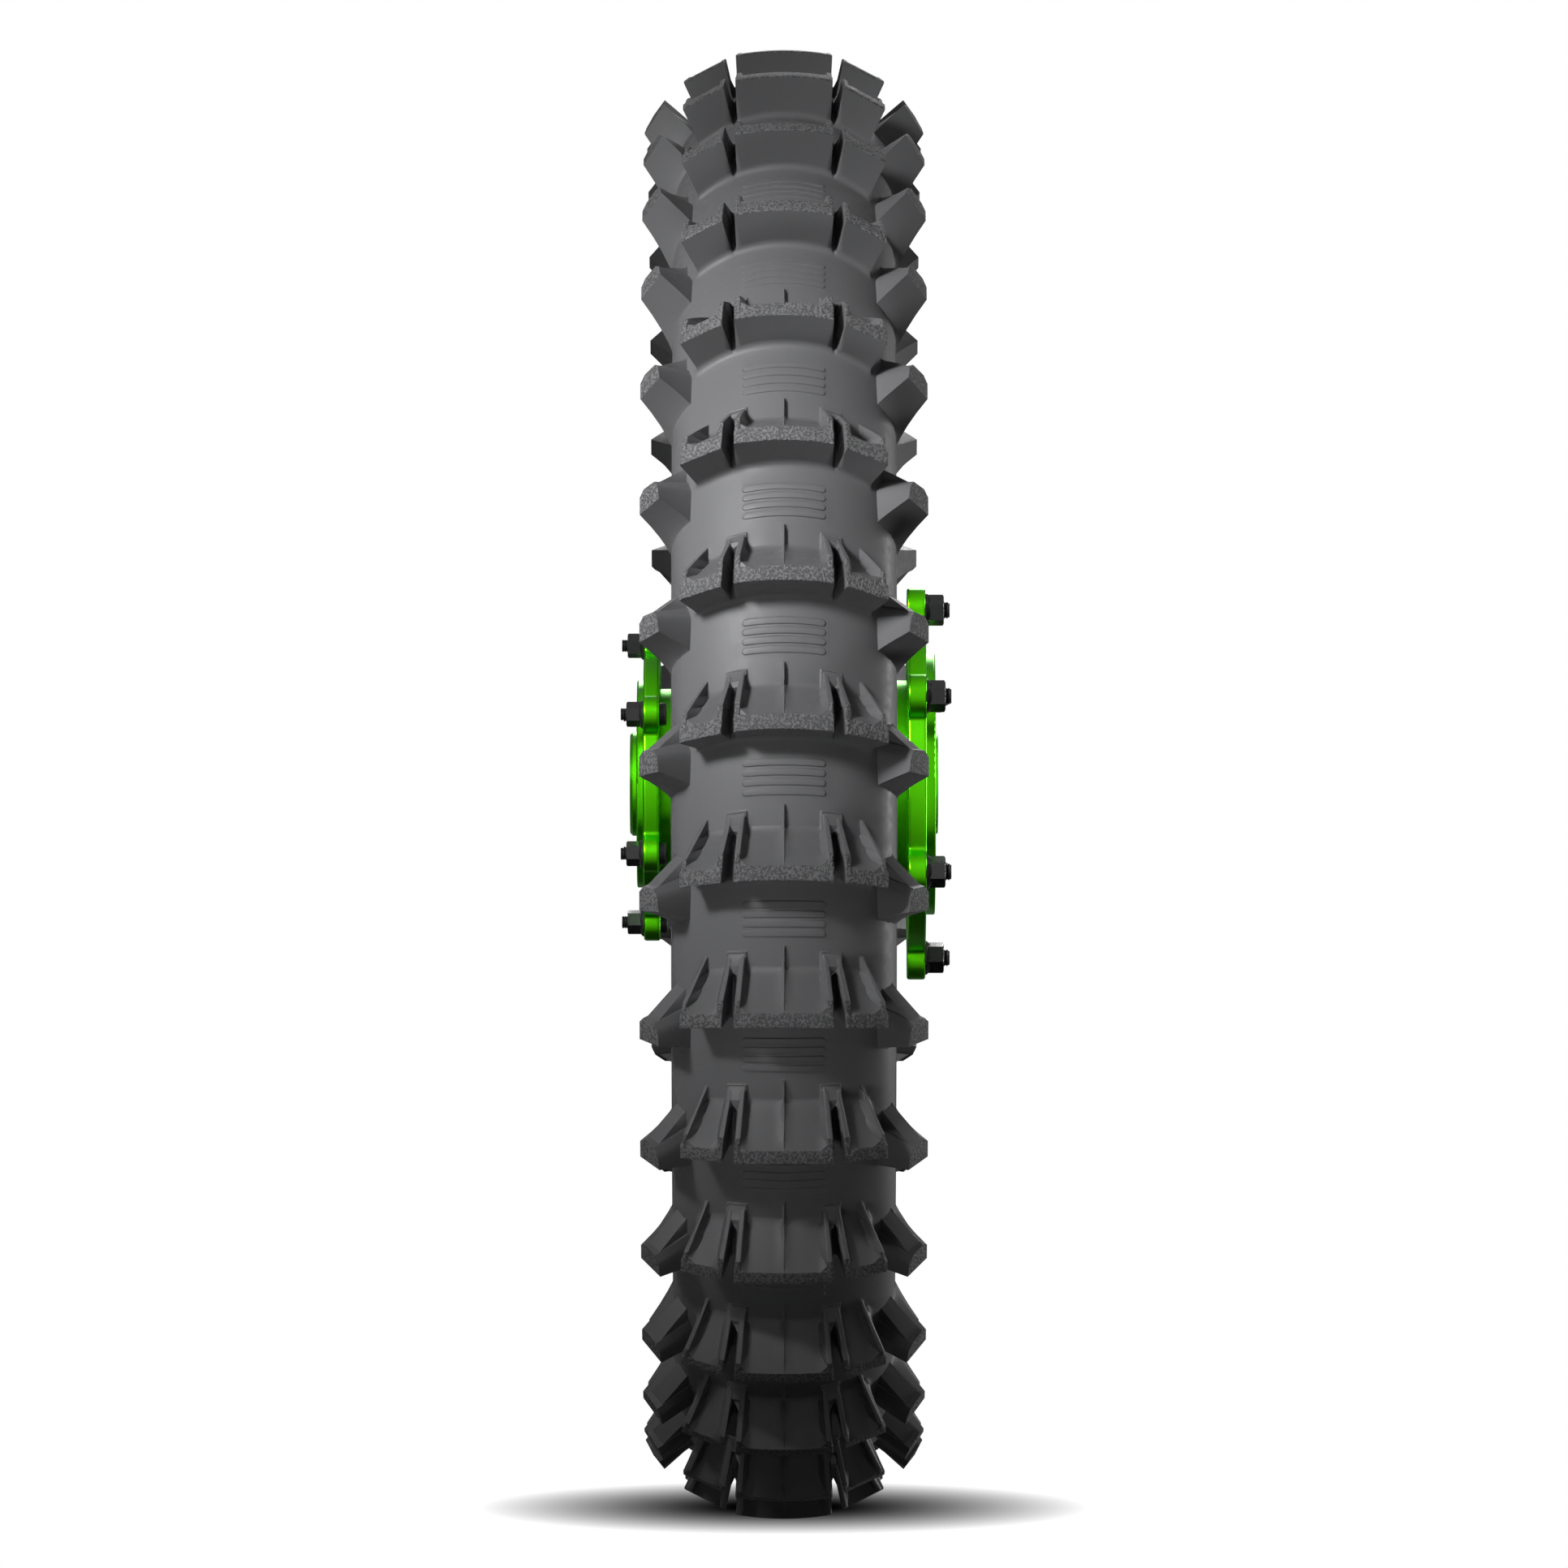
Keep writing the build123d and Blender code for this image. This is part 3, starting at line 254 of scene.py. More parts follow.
class Drawing:
    """Points and lines in the patch's plane, where they show on the blocks' surface.

    What lies below low across the tyre is cut off.
    """

    def __init__(self, blocks, low):
        self.blocks = blocks
        self.low = low
        self.points = []
        self.edges = []

    def add(self, point):
        """Adds a point and returns its number."""
        self.points.append((float(point[0]), float(point[1])))
        return len(self.points) - 1

    def line(self, block, run, closed):
        """Adds the steps of a block's line that no other block hides."""
        seen = block_height(run, block) >= surface_height(run, self.blocks) - HIDDEN
        index = {}
        last = len(run) if closed else len(run) - 1
        for n in range(last):
            m = (n + 1) % len(run)
            if not (seen[n] and seen[m]) or max(run[n][0], run[m][0]) < self.low:
                continue
            ends = []
            for here, there in ((n, m), (m, n)):
                if run[here][0] >= self.low:
                    if here not in index:
                        index[here] = self.add(run[here])
                    ends.append(index[here])
                else:
                    share = (self.low - run[here][0]) / (run[there][0] - run[here][0])
                    ends.append(self.add(run[here] + (run[there] - run[here]) * share))
            self.edges.append(tuple(ends))

    def grid(self, domain):
        """Adds a grid's points that lie well clear of those already there, and all on the border."""
        taken = np.array(self.points)
        (a_low, a_high), (s_low, s_high) = domain
        for a in np.linspace(a_low, a_high, PATCH_GRID[0] + 1):
            for s in np.linspace(s_low, s_high, PATCH_GRID[1] + 1):
                border = a in (a_low, a_high) or s in (s_low, s_high)
                if border or np.abs(taken - (a, s)).sum(axis=1).min() > GRID_GAP:
                    self.add((a, s))


def patch_mesh(blocks, guides, domain):
    """Points (across, along, height) and triangles of a rectangle with these blocks on it."""
    drawing = Drawing(blocks, domain[0][0])
    for block in blocks:
        for loop in contours(block):
            drawing.line(block, resampled(loop), closed=True)
    for block, start, end in guides:
        drawing.line(block, guide_points(start, end), closed=False)
    drawing.grid(domain)
    vectors = [Vector(point) for point in drawing.points]
    verts, _, faces, *_ = delaunay_2d_cdt(vectors, drawing.edges, [], 0, SNAP)
    flat = np.array([tuple(v) for v in verts])
    return np.column_stack([flat, surface_height(flat, blocks)]), [tuple(face) for face in faces]


# Crown row: lengths s along the tyre from the bar's middle, away from its front wall. A scoop behind
# each bar runs down to the floor between arms; a slot parts the centre knob from the one beside it.
# A foot is (draft, fillet), and guides are where lines are drawn across.

BAR_HALF = 3.45
BAR_COUNT = 2
BAR_FOOT = (0.9, 3.4)
BAR_GUIDES = (0.0, BAR_HALF, 7.0, 11.0, 14.5, 16.5, 18.3, 20.0)
CENTRE_EDGE = 20.5
MIDDLE_EDGES = (25.1, EDGE)
SCOOP_LENGTH = 14.8
SCOOP_EASE = 2.2  # the height over which the scoop eases into the floor
ARM_FULL = 6.3
ARM_WIDTHS = (2.2, 2.0, 1.5)
ARM_FOOT = (0.45, 0.5)
ARM_SHIFTS = (-0.9, -1.9, -2.4)  # how far the arms' tails move across
ARM_GUIDES = (BAR_HALF + ARM_FULL, 14.0, 18.0, 22.0)
TAIL = 26.4
RIB_HALF_WIDTH = 0.45
RIB_FOOT = (0.2, 0.3)
RIB_DROP = 0.4
RIB_HEIGHT = 2.4
RIB_TAIL = 31.0  # where its slope would reach the floor
RIB_END = 29.5
TIE_ACROSS = (17.4, 25.2)
TIE_START = 18.4
TIE_HEIGHTS = (5.4, 1.0)
TIE_FOOT = (0.6, 1.2)
FLOOR_BARS = (-31.0, -26.4, -21.8, -17.2)
FLOOR_BAR_HALF_SIZES = (18.6, 1.55)
FLOOR_BAR_FOOT = (0.12, 0.2)
FLOOR_BAR_HEIGHT = 0.5
FLOOR_BAR_END_STEPS = 6


def sloped(height, s, start, end):
    """A height that falls to nothing between two lengths along the tyre."""
    return height * np.clip(1.0 - (s - start) / (end - start), 0.0, 1.0)


def bar_top(points):
    """Full height over the bar, then a slope that eases into the floor."""
    full = full_height(np.abs(points[:, 0]))
    height = full * (1.0 - np.maximum(points[:, 1] - BAR_HALF, 0.0) / SCOOP_LENGTH)
    eased = (height + SCOOP_EASE) ** 2 / (4 * SCOOP_EASE)
    return np.where(height > SCOOP_EASE, height, np.where(height < -SCOOP_EASE, 0.0, eased))


def arm_top(points):
    """Full height along the bar and a little further, then an even slope to the tail."""
    full = full_height(np.abs(points[:, 0]))
    return sloped(full, points[:, 1], BAR_HALF + ARM_FULL, TAIL)


def rib_top(points):
    """A fin that starts just under the knob's top and stands a little above the scoop."""
    full = full_height(np.abs(points[:, 0])) - RIB_DROP
    return np.minimum(sloped(full, points[:, 1], BAR_HALF, RIB_TAIL), bar_top(points) + RIB_HEIGHT)


def tie_top(points):
    """A web across the slot's end that falls towards the arms' tails."""
    near, far = TIE_HEIGHTS
    share = np.clip((points[:, 1] - TIE_START) / (TAIL - TIE_START), 0.0, 1.0)
    return near + (far - near) * share


def floor_bar_top(points):
    """The same low height everywhere."""
    return np.full(len(points), FLOOR_BAR_HEIGHT)


def quad(a_low, a_high, s_low, s_high, shift=0.0):
    """Outline turning anticlockwise, with its far end moved across by shift."""
    return ((a_low, s_low), (a_high, s_low), (a_high + shift, s_high), (a_low + shift, s_high))


def stadium(half_length, half_width, s):
    """Long outline with round ends."""
    turns = np.radians(np.linspace(-90.0, 90.0, FLOOR_BAR_END_STEPS + 1))
    across = half_length - half_width + half_width * np.cos(turns)
    along = half_width * np.sin(turns)
    return [*zip(across, s + along), *zip(-across, s - along)]


def bar_blocks():
    """The centre knob and the knob beside it, each with its scoop."""
    end = BAR_HALF + SCOOP_LENGTH + SCOOP_EASE
    edges = ((-CENTRE_EDGE, CENTRE_EDGE), MIDDLE_EDGES)
    return [drafted_block(quad(*edge, -BAR_HALF, end), bar_top, BAR_FOOT) for edge in edges]


def arm_blocks():
    """The centre knob's arm and the two arms of the knob beside it."""
    low, high = MIDDLE_EDGES
    centre, inner, outer = ARM_WIDTHS
    edges = ((CENTRE_EDGE - centre, CENTRE_EDGE), (low, low + inner), (high - outer, high))
    outlines = [quad(*edge, -BAR_HALF, TAIL, shift) for edge, shift in zip(edges, ARM_SHIFTS)]
    return [drafted_block(outline, arm_top, ARM_FOOT) for outline in outlines]


def crown_blocks():
    """The raised shapes on half of a crown row: the bars first, then their arms."""
    rib = quad(-RIB_HALF_WIDTH, RIB_HALF_WIDTH, 0.0, RIB_END)
    tie = quad(*TIE_ACROSS, TIE_START, TAIL)
    floor_bars = [stadium(*FLOOR_BAR_HALF_SIZES, s) for s in FLOOR_BARS]
    return [
        *bar_blocks(),
        *arm_blocks(),
        drafted_block(rib, rib_top, RIB_FOOT),
        drafted_block(tie, tie_top, TIE_FOOT),
        *(drafted_block(outline, floor_bar_top, FLOOR_BAR_FOOT) for outline in floor_bars),
    ]


def bars_and_arms(blocks):
    """The bars and the arms among a crown row's blocks."""
    knobs = BAR_COUNT + len(ARM_SHIFTS)
    return blocks[:BAR_COUNT], blocks[BAR_COUNT:knobs]


def crown_guides(blocks):
    """Lines across the bars and arms where their surface bends, as (block, start, end)."""
    bars, arms = bars_and_arms(blocks)
    guides = []
    for block in bars:
        low, high = block.top[0][0], block.top[1][0]
        guides += [(block, (low, s), (high, s)) for s in BAR_GUIDES]
    for block, shift in zip(arms, ARM_SHIFTS):
        low, high = block.top[0][0], block.top[1][0]
        for s in ARM_GUIDES:
            moved = shift * (s + BAR_HALF) / (TAIL + BAR_HALF)
            guides.append((block, (low + moved, s), (high + moved, s)))
    return guides


def knob_tops(centres, blocks):
    """Which of these face centres lie on a bar's or an arm's level top."""
    bars, arms = bars_and_arms(blocks)
    tops = np.zeros(len(centres), bool)
    for group, level_to in ((bars, BAR_HALF), (arms, BAR_HALF + ARM_FULL)):
        for block in group:
            inside = edge_distances(centres, block.top).max(axis=1) < 0.0
            tops |= inside & (centres[:, 1] < level_to)
    return tops


def crown_mesh():
    """Half of one pitch of the tread, from the middle to the equator, and which faces are knob tops."""
    blocks = crown_blocks()
    domain = ((0.0, SECTION_END), (PATCH_START, PATCH_START + PITCH_LENGTH))
    flat, faces = patch_mesh(blocks, crown_guides(blocks), domain)
    centres = np.array([flat[list(face), :2].mean(axis=0) for face in faces])
    return np.column_stack(crown_place(*flat.T)), faces, knob_tops(centres, blocks)


# Side knob: h is measured along its axis and v across it, towards the tread's middle. Outlines are
# (v, angle) points.

SIDE_ORIGIN = (45.0, 296.0)
SIDE_AXIS_TILT = 38.0
SIDE_RADIUS = 300.0  # where the outlines' angles are turned into lengths
SIDE_TOP = ((-5.75, 0.64), (10.33, 1.0), (8.9, 2.2), (6.13, 2.78), (-2.46, 2.76), (-5.75, 2.23))
SIDE_FOOT = ((-18.0, -1.9), (9.2, -0.1), (9.8, 2.6), (7.8, 3.6), (-2.6, 3.7), (-16.0, 3.2))
SIDE_CURVES = (2.0, 1.15, 1.0, 1.0, 1.5, 2.2)  # how hollow the walls are below each corner of the top
SIDE_TOP_HEIGHT = 20.2
SIDE_TOP_SLOPE = 0.095
SUNK = 0.06  # how far the knob's lowest edge lies under the tyre's outside
RAMP_TOP = ((-2.46, 2.5), (6.13, 2.5), (5.8, 5.0), (-1.6, 5.1))
RAMP_FOOT = ((-3.2, 2.5), (7.0, 2.5), (6.6, 5.2), (-2.4, 5.3))
RAMP_SHARES = (1.0, 1.0, 0.0, 0.0)  # of the knob's height at the ramp's corners
FOOT_EASE = 0.07  # share of the height over which the walls ease into the tyre's outside
WALL_STEPS = (0.0, 0.2, 0.4, 0.6, 0.8, 0.88, 0.93, 0.97, 1.0, 1.03, 1.07)
EDGE_STEPS = 4
OUTLINE_STEPS = (200, 60)  # points on the tread's floor and on the lower arc


def side_axes():
    """Directions (y, radius) of h and v."""
    tilt = math.radians(SIDE_AXIS_TILT)
    return np.array((math.cos(tilt), math.sin(tilt))), np.array((-math.sin(tilt), math.cos(tilt)))


def on_side(v, h):
    """(y, radius) of a side patch's points."""
    up, across = side_axes()
    points = np.array(SIDE_ORIGIN) + v[:, None] * across + h[:, None] * up
    return points[:, 0], points[:, 1]


def lower_arc_points(turns, radius):
    """(y, radius) points about the lower arc's centre, at angles down from the equator."""
    centre = SHOULDER_Y + SHOULDER_ARC - LOWER_ARC
    turns = np.radians(turns)
    return np.column_stack([centre + radius * np.cos(turns), EQUATOR_RADIUS - radius * np.sin(turns)])


def section_outline():
    """The tyre's outside from the middle of the tread to below the equator, as (y, radius) points."""
    upper, lower = OUTLINE_STEPS
    turns = np.linspace(0.0, LOWER_ARC_TURN, lower)[1:]
    floor = np.column_stack(floor_point(np.linspace(0.0, SECTION_END, upper)))
    return np.concatenate([floor, lower_arc_points(turns, LOWER_ARC)])


def side_floor(v):
    """Height of the tyre's outside over the side patch's plane."""
    up, across = side_axes()
    offset = section_outline() - SIDE_ORIGIN
    order = np.argsort(offset @ across)
    return np.interp(v, (offset @ across)[order], (offset @ up)[order])


def along_side(outline):
    """The outline with its angles turned into lengths along the side patch."""
    return [(v, SIDE_RADIUS * math.radians(angle)) for v, angle in outline]


def side_top(v):
    """Height of a side knob's top over the tyre's outside."""
    return SIDE_TOP_HEIGHT + SIDE_TOP_SLOPE * v - side_floor(v)


def subdivided(values):
    """A closed row of corners, each with one or more values, with equal steps put in between."""
    corners = np.array(values, float)
    shares = (np.arange(EDGE_STEPS) / EDGE_STEPS)[None, :, None]
    steps = corners[:, None] + (np.roll(corners, -1, axis=0) - corners)[:, None] * shares
    return steps.reshape(-1, corners.shape[1])


def loft(top, shares, foot, curves):
    """A raised shape on the tyre's side: its top, and hollow walls that run down to its foot."""
    top, foot = subdivided(along_side(top)), subdivided(along_side(foot))
    shares, curves = subdivided(list(zip(shares, curves))).T
    full = side_top(top[:, 0]) * shares
    rings = []
    for step in WALL_STEPS:
        left = 1.0 - step
        if left < FOOT_EASE:
            left = (left + FOOT_EASE) ** 2 / (4 * FOOT_EASE)
        plane = top + (foot - top) * step
        rings.append(np.column_stack([plane, full * left**curves]))
    count = len(top)
    middle = np.append(top.mean(axis=0), full.mean())
    v, s, height = np.concatenate([[middle]] + rings).T
    faces = [(0, 1 + k, 1 + (k + 1) % count) for k in range(count)]
    faces += ring_faces(len(rings), count, first=1)
    y, radius = on_side(v, height + side_floor(v) - SUNK)
    points = np.column_stack([y, radius, np.degrees(s / SIDE_RADIUS)])
    return points, faces, np.arange(len(faces)) < count


def side_mesh():
    """One side knob and the ramp behind it, and which faces are the knob's top."""
    knob = loft(SIDE_TOP, (1.0,) * len(SIDE_TOP), SIDE_FOOT, SIDE_CURVES)
    points, faces, _ = loft(RAMP_TOP, RAMP_SHARES, RAMP_FOOT, (1.0,) * len(RAMP_TOP))
    return joined([knob, (points, faces, np.zeros(len(faces), bool))])


# Meshes: a part is (points, faces, marks), where marks say which faces get the second material


def ring_faces(rings, count, first=0):
    """Quads between closed rings of count points, numbered from first."""
    faces = []
    for ring in range(rings - 1):
        for k in range(count):
            near = first + ring * count + k
            beside = first + ring * count + (k + 1) % count
            faces.append((near, near + count, beside + count, beside))
    return faces


def wheel_xyz(points):
    """(x, y, z) from the wheel's points (y, radius, angle)."""
    y, radius, angle = points[:, 0], points[:, 1], np.radians(points[:, 2])
    return np.column_stack([radius * np.cos(angle), y, radius * np.sin(angle)])


def mirrored(points, faces, marks):
    """The same part on the wheel's other side."""
    return points * (-1.0, 1.0, 1.0), [face[::-1] for face in faces], marks


def joined(parts):
    """Several parts as one."""
    all_points, all_faces, all_marks, base = [], [], [], 0
    for points, faces, marks in parts:
        all_points.append(points)
        all_faces += [tuple(k + base for k in face) for face in faces]
        all_marks.append(marks)
        base += len(points)
    return np.concatenate(all_points), all_faces, np.concatenate(all_marks)


def repeated(part, count):
    """The part on this many pitches of the wheel."""
    points, faces, marks = part
    return joined([(points + (0.0, 0.0, n * PITCH_ANGLE), faces, marks) for n in range(count)])


def add_mesh(name, points, faces, marks=None, merge=0.0, crease=CREASE_ANGLE):
    """Object in metres, smooth up to the crease angle, with marked faces in its second material."""
    mesh = bpy.data.meshes.new(name)
    mesh.from_pydata((points * MM).tolist(), [], faces)
    if marks is not None:
        mesh.polygons.foreach_set("material_index", marks.astype(np.int32))
    if merge:
        work = bmesh.new()
        work.from_mesh(mesh)
        bmesh.ops.remove_doubles(work, verts=work.verts, dist=merge * MM)
        work.to_mesh(mesh)
        work.free()
    mesh.shade_smooth()
    mesh.set_sharp_from_angle(angle=math.radians(crease))
    obj = bpy.data.objects.new(name, mesh)
    bpy.context.scene.collection.objects.link(obj)
    return obj


def wheel_mesh(name, points, *rest, **settings):
    """Object from the wheel's points."""
    return add_mesh(name, wheel_xyz(points), *rest, **settings)


def both_sides(part):
    """The part together with its mirror image."""
    return joined([part, mirrored(*part)])


def tread():
    """The crown in two halves, and all the side knobs."""
    points, faces, tops = repeated(both_sides(crown_mesh()), PITCHES // 2)
    crown = [
        wheel_mesh("tread_crown_upper", points, faces, tops, merge=WELD),
        wheel_mesh("tread_crown_lower", points + (0.0, 0.0, 180.0), faces, tops, merge=WELD),
    ]
    knobs = wheel_mesh("tread_side_knobs", *repeated(both_sides(side_mesh()), PITCHES))
    for obj in (*crown, knobs):
        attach(obj, "wheel")
        obj.data.materials.append(looks["tread_rubber"])
        obj.data.materials.append(looks["knob_tops"])
        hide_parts("tire_tread")


# Bolts and nuts on the hub's flanges: y runs outwards from the middle plane on either side

Fasteners = namedtuple(
    "Fasteners",
    "name side circle seat nut_top flats foot_radius foot_height "
    "shank bolt_end thread_root thread_tip pitch head_y head_height head_radius",
)
SPROCKET = Fasteners(
    name="sprocket", side=1, circle=80.5,
    seat=65.4, nut_top=74.0, flats=12.7, foot_radius=7.9, foot_height=2.2,
    shank=4.0, bolt_end=76.7, thread_root=3.4, thread_tip=3.9, pitch=1.25,
    head_y=56.8, head_height=4.4, head_radius=6.5,
)
DISC = Fasteners(
    name="disc", side=-1, circle=64.0,
    seat=64.8, nut_top=72.4, flats=10.0, foot_radius=6.6, foot_height=1.8,
    shank=3.0, bolt_end=74.9, thread_root=2.5, thread_tip=2.9, pitch=1.0,
    head_y=53.9, head_height=3.3, head_radius=5.25,
)
BOLT_COUNT = 6
FIRST_BOLT_ANGLE = 30.0
NUT_TURN_STEP = 11.0
NUT_CREASE_ANGLE = 30.0
ROUND_SIDES = 48
TURNS = np.arange(ROUND_SIDES) * 2 * math.pi / ROUND_SIDES
HEXAGON_SECTOR = math.pi / 3

HEAD_ROUND = 0.9
HEAD_ROUND_STEPS = 5
THREAD_SUNK = 0.4  # how far below the nut's top the grooves start
THREAD_CREST = (0.42, 0.58)  # where a thread's crest lies, as shares of its pitch
THREAD_PLAIN = 0.8  # no groove starts this near to the bolt's end
TIP_HEIGHT = 0.15
TIP_CHAMFER = 0.3

NUT_CHAMFER = 0.55  # height over width of the cone that cuts a nut's corners
NUT_CHAMFER_SHARES = (0.25, 0.5, 0.75)
NUT_FACE_EDGE = 0.1
NUT_HOLLOW_EDGE = 0.9
NUT_HOLLOW_DEPTH = 0.5
NUT_HOLLOW_GAP = 0.05
NUT_BASE = 0.5  # where the hexagon starts inside its foot
FOOT_EDGE = 0.15
FOOT_RIM = (0.6, 0.8)  # heights where the foot's straight edge ends and its slope starts
FOOT_STEP = 0.2
FOOT_LIP = 0.1
FOOT_INSET = 0.3


def hexagon_reach(half):
    """Distance from the middle to a hexagon's flats in the direction of each of TURNS."""
    to_corner = HEXAGON_SECTOR / 2
    return half / np.cos((TURNS + to_corner) % HEXAGON_SECTOR - to_corner)


def spun(levels, limit=np.inf):
    """Rings of (y, radius) about the y axis, closed at both ends, with radii held within a limit."""
    rings = []
    for y, radius in levels:
        reach = np.minimum(radius, limit)
        ring = [reach * np.cos(TURNS), np.full(ROUND_SIDES, y), reach * np.sin(TURNS)]
        rings.append(np.column_stack(ring))
    last = (len(rings) - 1) * ROUND_SIDES
    start_cap = tuple(range(ROUND_SIDES))
    end_cap = tuple(range(last, last + ROUND_SIDES))[::-1]
    faces = [start_cap, *ring_faces(len(rings), ROUND_SIDES), end_cap]
    return np.concatenate(rings), faces, np.zeros(len(faces), bool)


def bolt(kind):
    """Head on the flange's inner side, plain shank, and thread grooves at the outer end."""
    levels = []
    for turn in np.linspace(0.0, math.pi / 2, HEAD_ROUND_STEPS + 1):
        y = kind.head_y + HEAD_ROUND * (1 - math.cos(turn))
        levels.append((y, kind.head_radius - HEAD_ROUND * (1 - math.sin(turn))))
    head_top = kind.head_y + kind.head_height
    levels += [(head_top, kind.head_radius), (head_top, kind.shank)]
    levels.append((kind.nut_top - NUT_HOLLOW_DEPTH, kind.shank))
    y = kind.nut_top - THREAD_SUNK
    while y < kind.bolt_end - THREAD_PLAIN:
        levels.append((y, kind.thread_root))
        levels += [(y + share * kind.pitch, kind.thread_tip) for share in THREAD_CREST]
        y += kind.pitch
    levels += [(y, kind.thread_root), (kind.bolt_end - TIP_HEIGHT, kind.thread_root)]
    levels.append((kind.bolt_end, kind.thread_root - TIP_CHAMFER))
    return spun(levels)


def nut_body(kind):
    """Hexagon with chamfered corners and a hollow round the bolt."""
    half = kind.flats / 2
    corner = half / math.cos(HEXAGON_SECTOR / 2)
    drop = NUT_CHAMFER * (corner - half)
    top = kind.nut_top
    levels = [(kind.seat + NUT_BASE, corner), (top - drop, corner)]
    for share in NUT_CHAMFER_SHARES:
        levels.append((top - drop * (1 - share), corner + (half - corner) * share))
    levels += [(top, half - NUT_FACE_EDGE), (top, half - NUT_HOLLOW_EDGE)]
    levels.append((top - NUT_HOLLOW_DEPTH, kind.shank + NUT_HOLLOW_GAP))
    return spun(levels, hexagon_reach(half))


def nut_foot(kind):
    """Round foot with a sloping top."""
    half, wide = kind.flats / 2, kind.foot_radius
    straight_end, slope_start = FOOT_RIM
    levels = [
        (0.0, wide - FOOT_EDGE),
        (FOOT_EDGE, wide),
        (straight_end, wide),
        (slope_start, wide - FOOT_STEP),
        (kind.foot_height, half + FOOT_EDGE),
        (kind.foot_height + FOOT_LIP, half - FOOT_INSET),
    ]
    return spun([(kind.seat + height, radius) for height, radius in levels])


def nut(kind):
    """Flange nut."""
    return joined([nut_body(kind), nut_foot(kind)])


def around_flange(kind, part, turn_step):
    """Copies of a part on the bolt circle, each turned further about its own axis."""
    points, faces, marks = part
    x, y, z = points.T
    if kind.side < 0:
        faces = [face[::-1] for face in faces]
    copies = []
    for n in range(BOLT_COUNT):
        turn = math.radians(turn_step * n)
        place = math.radians(FIRST_BOLT_ANGLE + n * 360.0 / BOLT_COUNT)
        moved_x = x * math.cos(turn) + z * math.sin(turn) + kind.circle * math.cos(place)
        moved_z = z * math.cos(turn) - x * math.sin(turn) + kind.circle * math.sin(place)
        copies.append((np.column_stack([moved_x, y * kind.side, moved_z]), faces, marks))
    return joined(copies)


def fasteners():
    """The detailed bolts and nuts of both flanges."""
    for kind in (SPROCKET, DISC):
        for name, part, turn in (("bolts", bolt(kind), 0.0), ("nuts", nut(kind), NUT_TURN_STEP)):
            points, faces, _ = around_flange(kind, part, turn)
            piece = add_mesh(f"{kind.name}_{name}_detail", points, faces, crease=NUT_CREASE_ANGLE)
            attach(piece, "wheel")
            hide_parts(f"{kind.name}_{name}")
            piece.data.materials.append(looks["black_steel"])


# Sidewalls, from the equator down to the bead over the rim's edge

RIM_COVER = (29.8, 256.4)
SIDEWALL_THICKNESS = 2.0
SIDEWALL_START = -1.0
SIDEWALL_STEPS = 149
INSIDE_EVERY = 10  # one point inside for this many outside
RING_ANGLES = (4.0, 12.0, 15.0, 44.0, 55.0)  # down from the equator
RING_HEIGHTS = (0.35, 0.3, 0.3, 0.3, 0.7)
RING_HALF_WIDTHS = (0.9, 0.5, 0.5, 0.5, 1.1)
RING_FLATNESS = 1.6  # above 1, the top of a ring is flat
LATHE_STEPS = 288


def lathe(profile):
    """A closed profile of (y, radius) points turned about the axle."""
    count = len(profile)
    angles = np.arange(LATHE_STEPS) * 360.0 / LATHE_STEPS
    points = np.column_stack([np.tile(profile, (LATHE_STEPS, 1)), np.repeat(angles, count)])
    faces = []
    for turn in range(LATHE_STEPS):
        here, there = turn * count, (turn + 1) % LATHE_STEPS * count
        for k in range(count):
            m = (k + 1) % count
            faces.append((here + k, here + m, there + m, there + k))
    return points, faces, np.zeros(len(faces), bool)


def sidewall_profile():
    """Outside down the lower arc with its moulded rings, then back up inside."""
    turns = np.linspace(SIDEWALL_START, LOWER_ARC_TURN, SIDEWALL_STEPS + 1)
    rise = np.zeros_like(turns)
    for place, height, half_width in zip(RING_ANGLES, RING_HEIGHTS, RING_HALF_WIDTHS):
        off = (turns - place) * math.radians(LOWER_ARC) / half_width
        rise = np.maximum(rise, height * np.clip(RING_FLATNESS * (1.0 - off**2), 0.0, 1.0))
    outside = lower_arc_points(turns, LOWER_ARC + rise)
    inside = lower_arc_points(turns[::-INSIDE_EVERY], LOWER_ARC - SIDEWALL_THICKNESS)
    return np.concatenate([outside, [RIM_COVER], inside])


def sidewalls():
    """The detailed sidewalls of both sides."""
    right = lathe(sidewall_profile())
    for side, part in (("right", right), ("left", mirrored(*right))):
        wall = wheel_mesh("sidewall_" + side, part[0], part[1])
        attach(wall, "wheel")
        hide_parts("tire_sidewall_" + side)
        wall.data.materials.append(looks["sidewall_rubber"])


# Materials: colours are linear, a noise's scale is about the number of its features in a metre,
# depths are in millimetres, and a spread is how far the roughness goes below and above its value

NOISE_ROUGHNESS = 0.55
NOISE_SPAN = (0.3, 0.7)  # where most of a noise texture's values lie
GRAIN_EDGE = (0.4, 0.6)  # the values between which a leathery grain turns from valley to hill
MIX_LOW, MIX_HIGH, MIX_RESULT = 6, 7, 2  # the Mix node's colour sockets
GREEN = (0.10, 0.66, 0.004)
RUBBER_DETAIL = 3.0
RUBBER_SPREAD = (-0.05, 0.08)
ANODISED_ROUGHNESS = 0.3
ANODISED_SPREAD = (-0.02, 0.04)
ANODISED_MOTTLE = 60.0
TURNING_SCALE = 90.0  # rings about 3.5 mm apart
TURNING_DISTORTION = 0.6
TURNING_DETAIL = 3.0
TURNING_DEPTH = 0.012
OXIDE_SPREAD = (-0.04, 0.06)
OXIDE_MOTTLE = 150.0
METAL_SPREAD = (-0.04, 0.05)
METAL_MOTTLE = 400.0


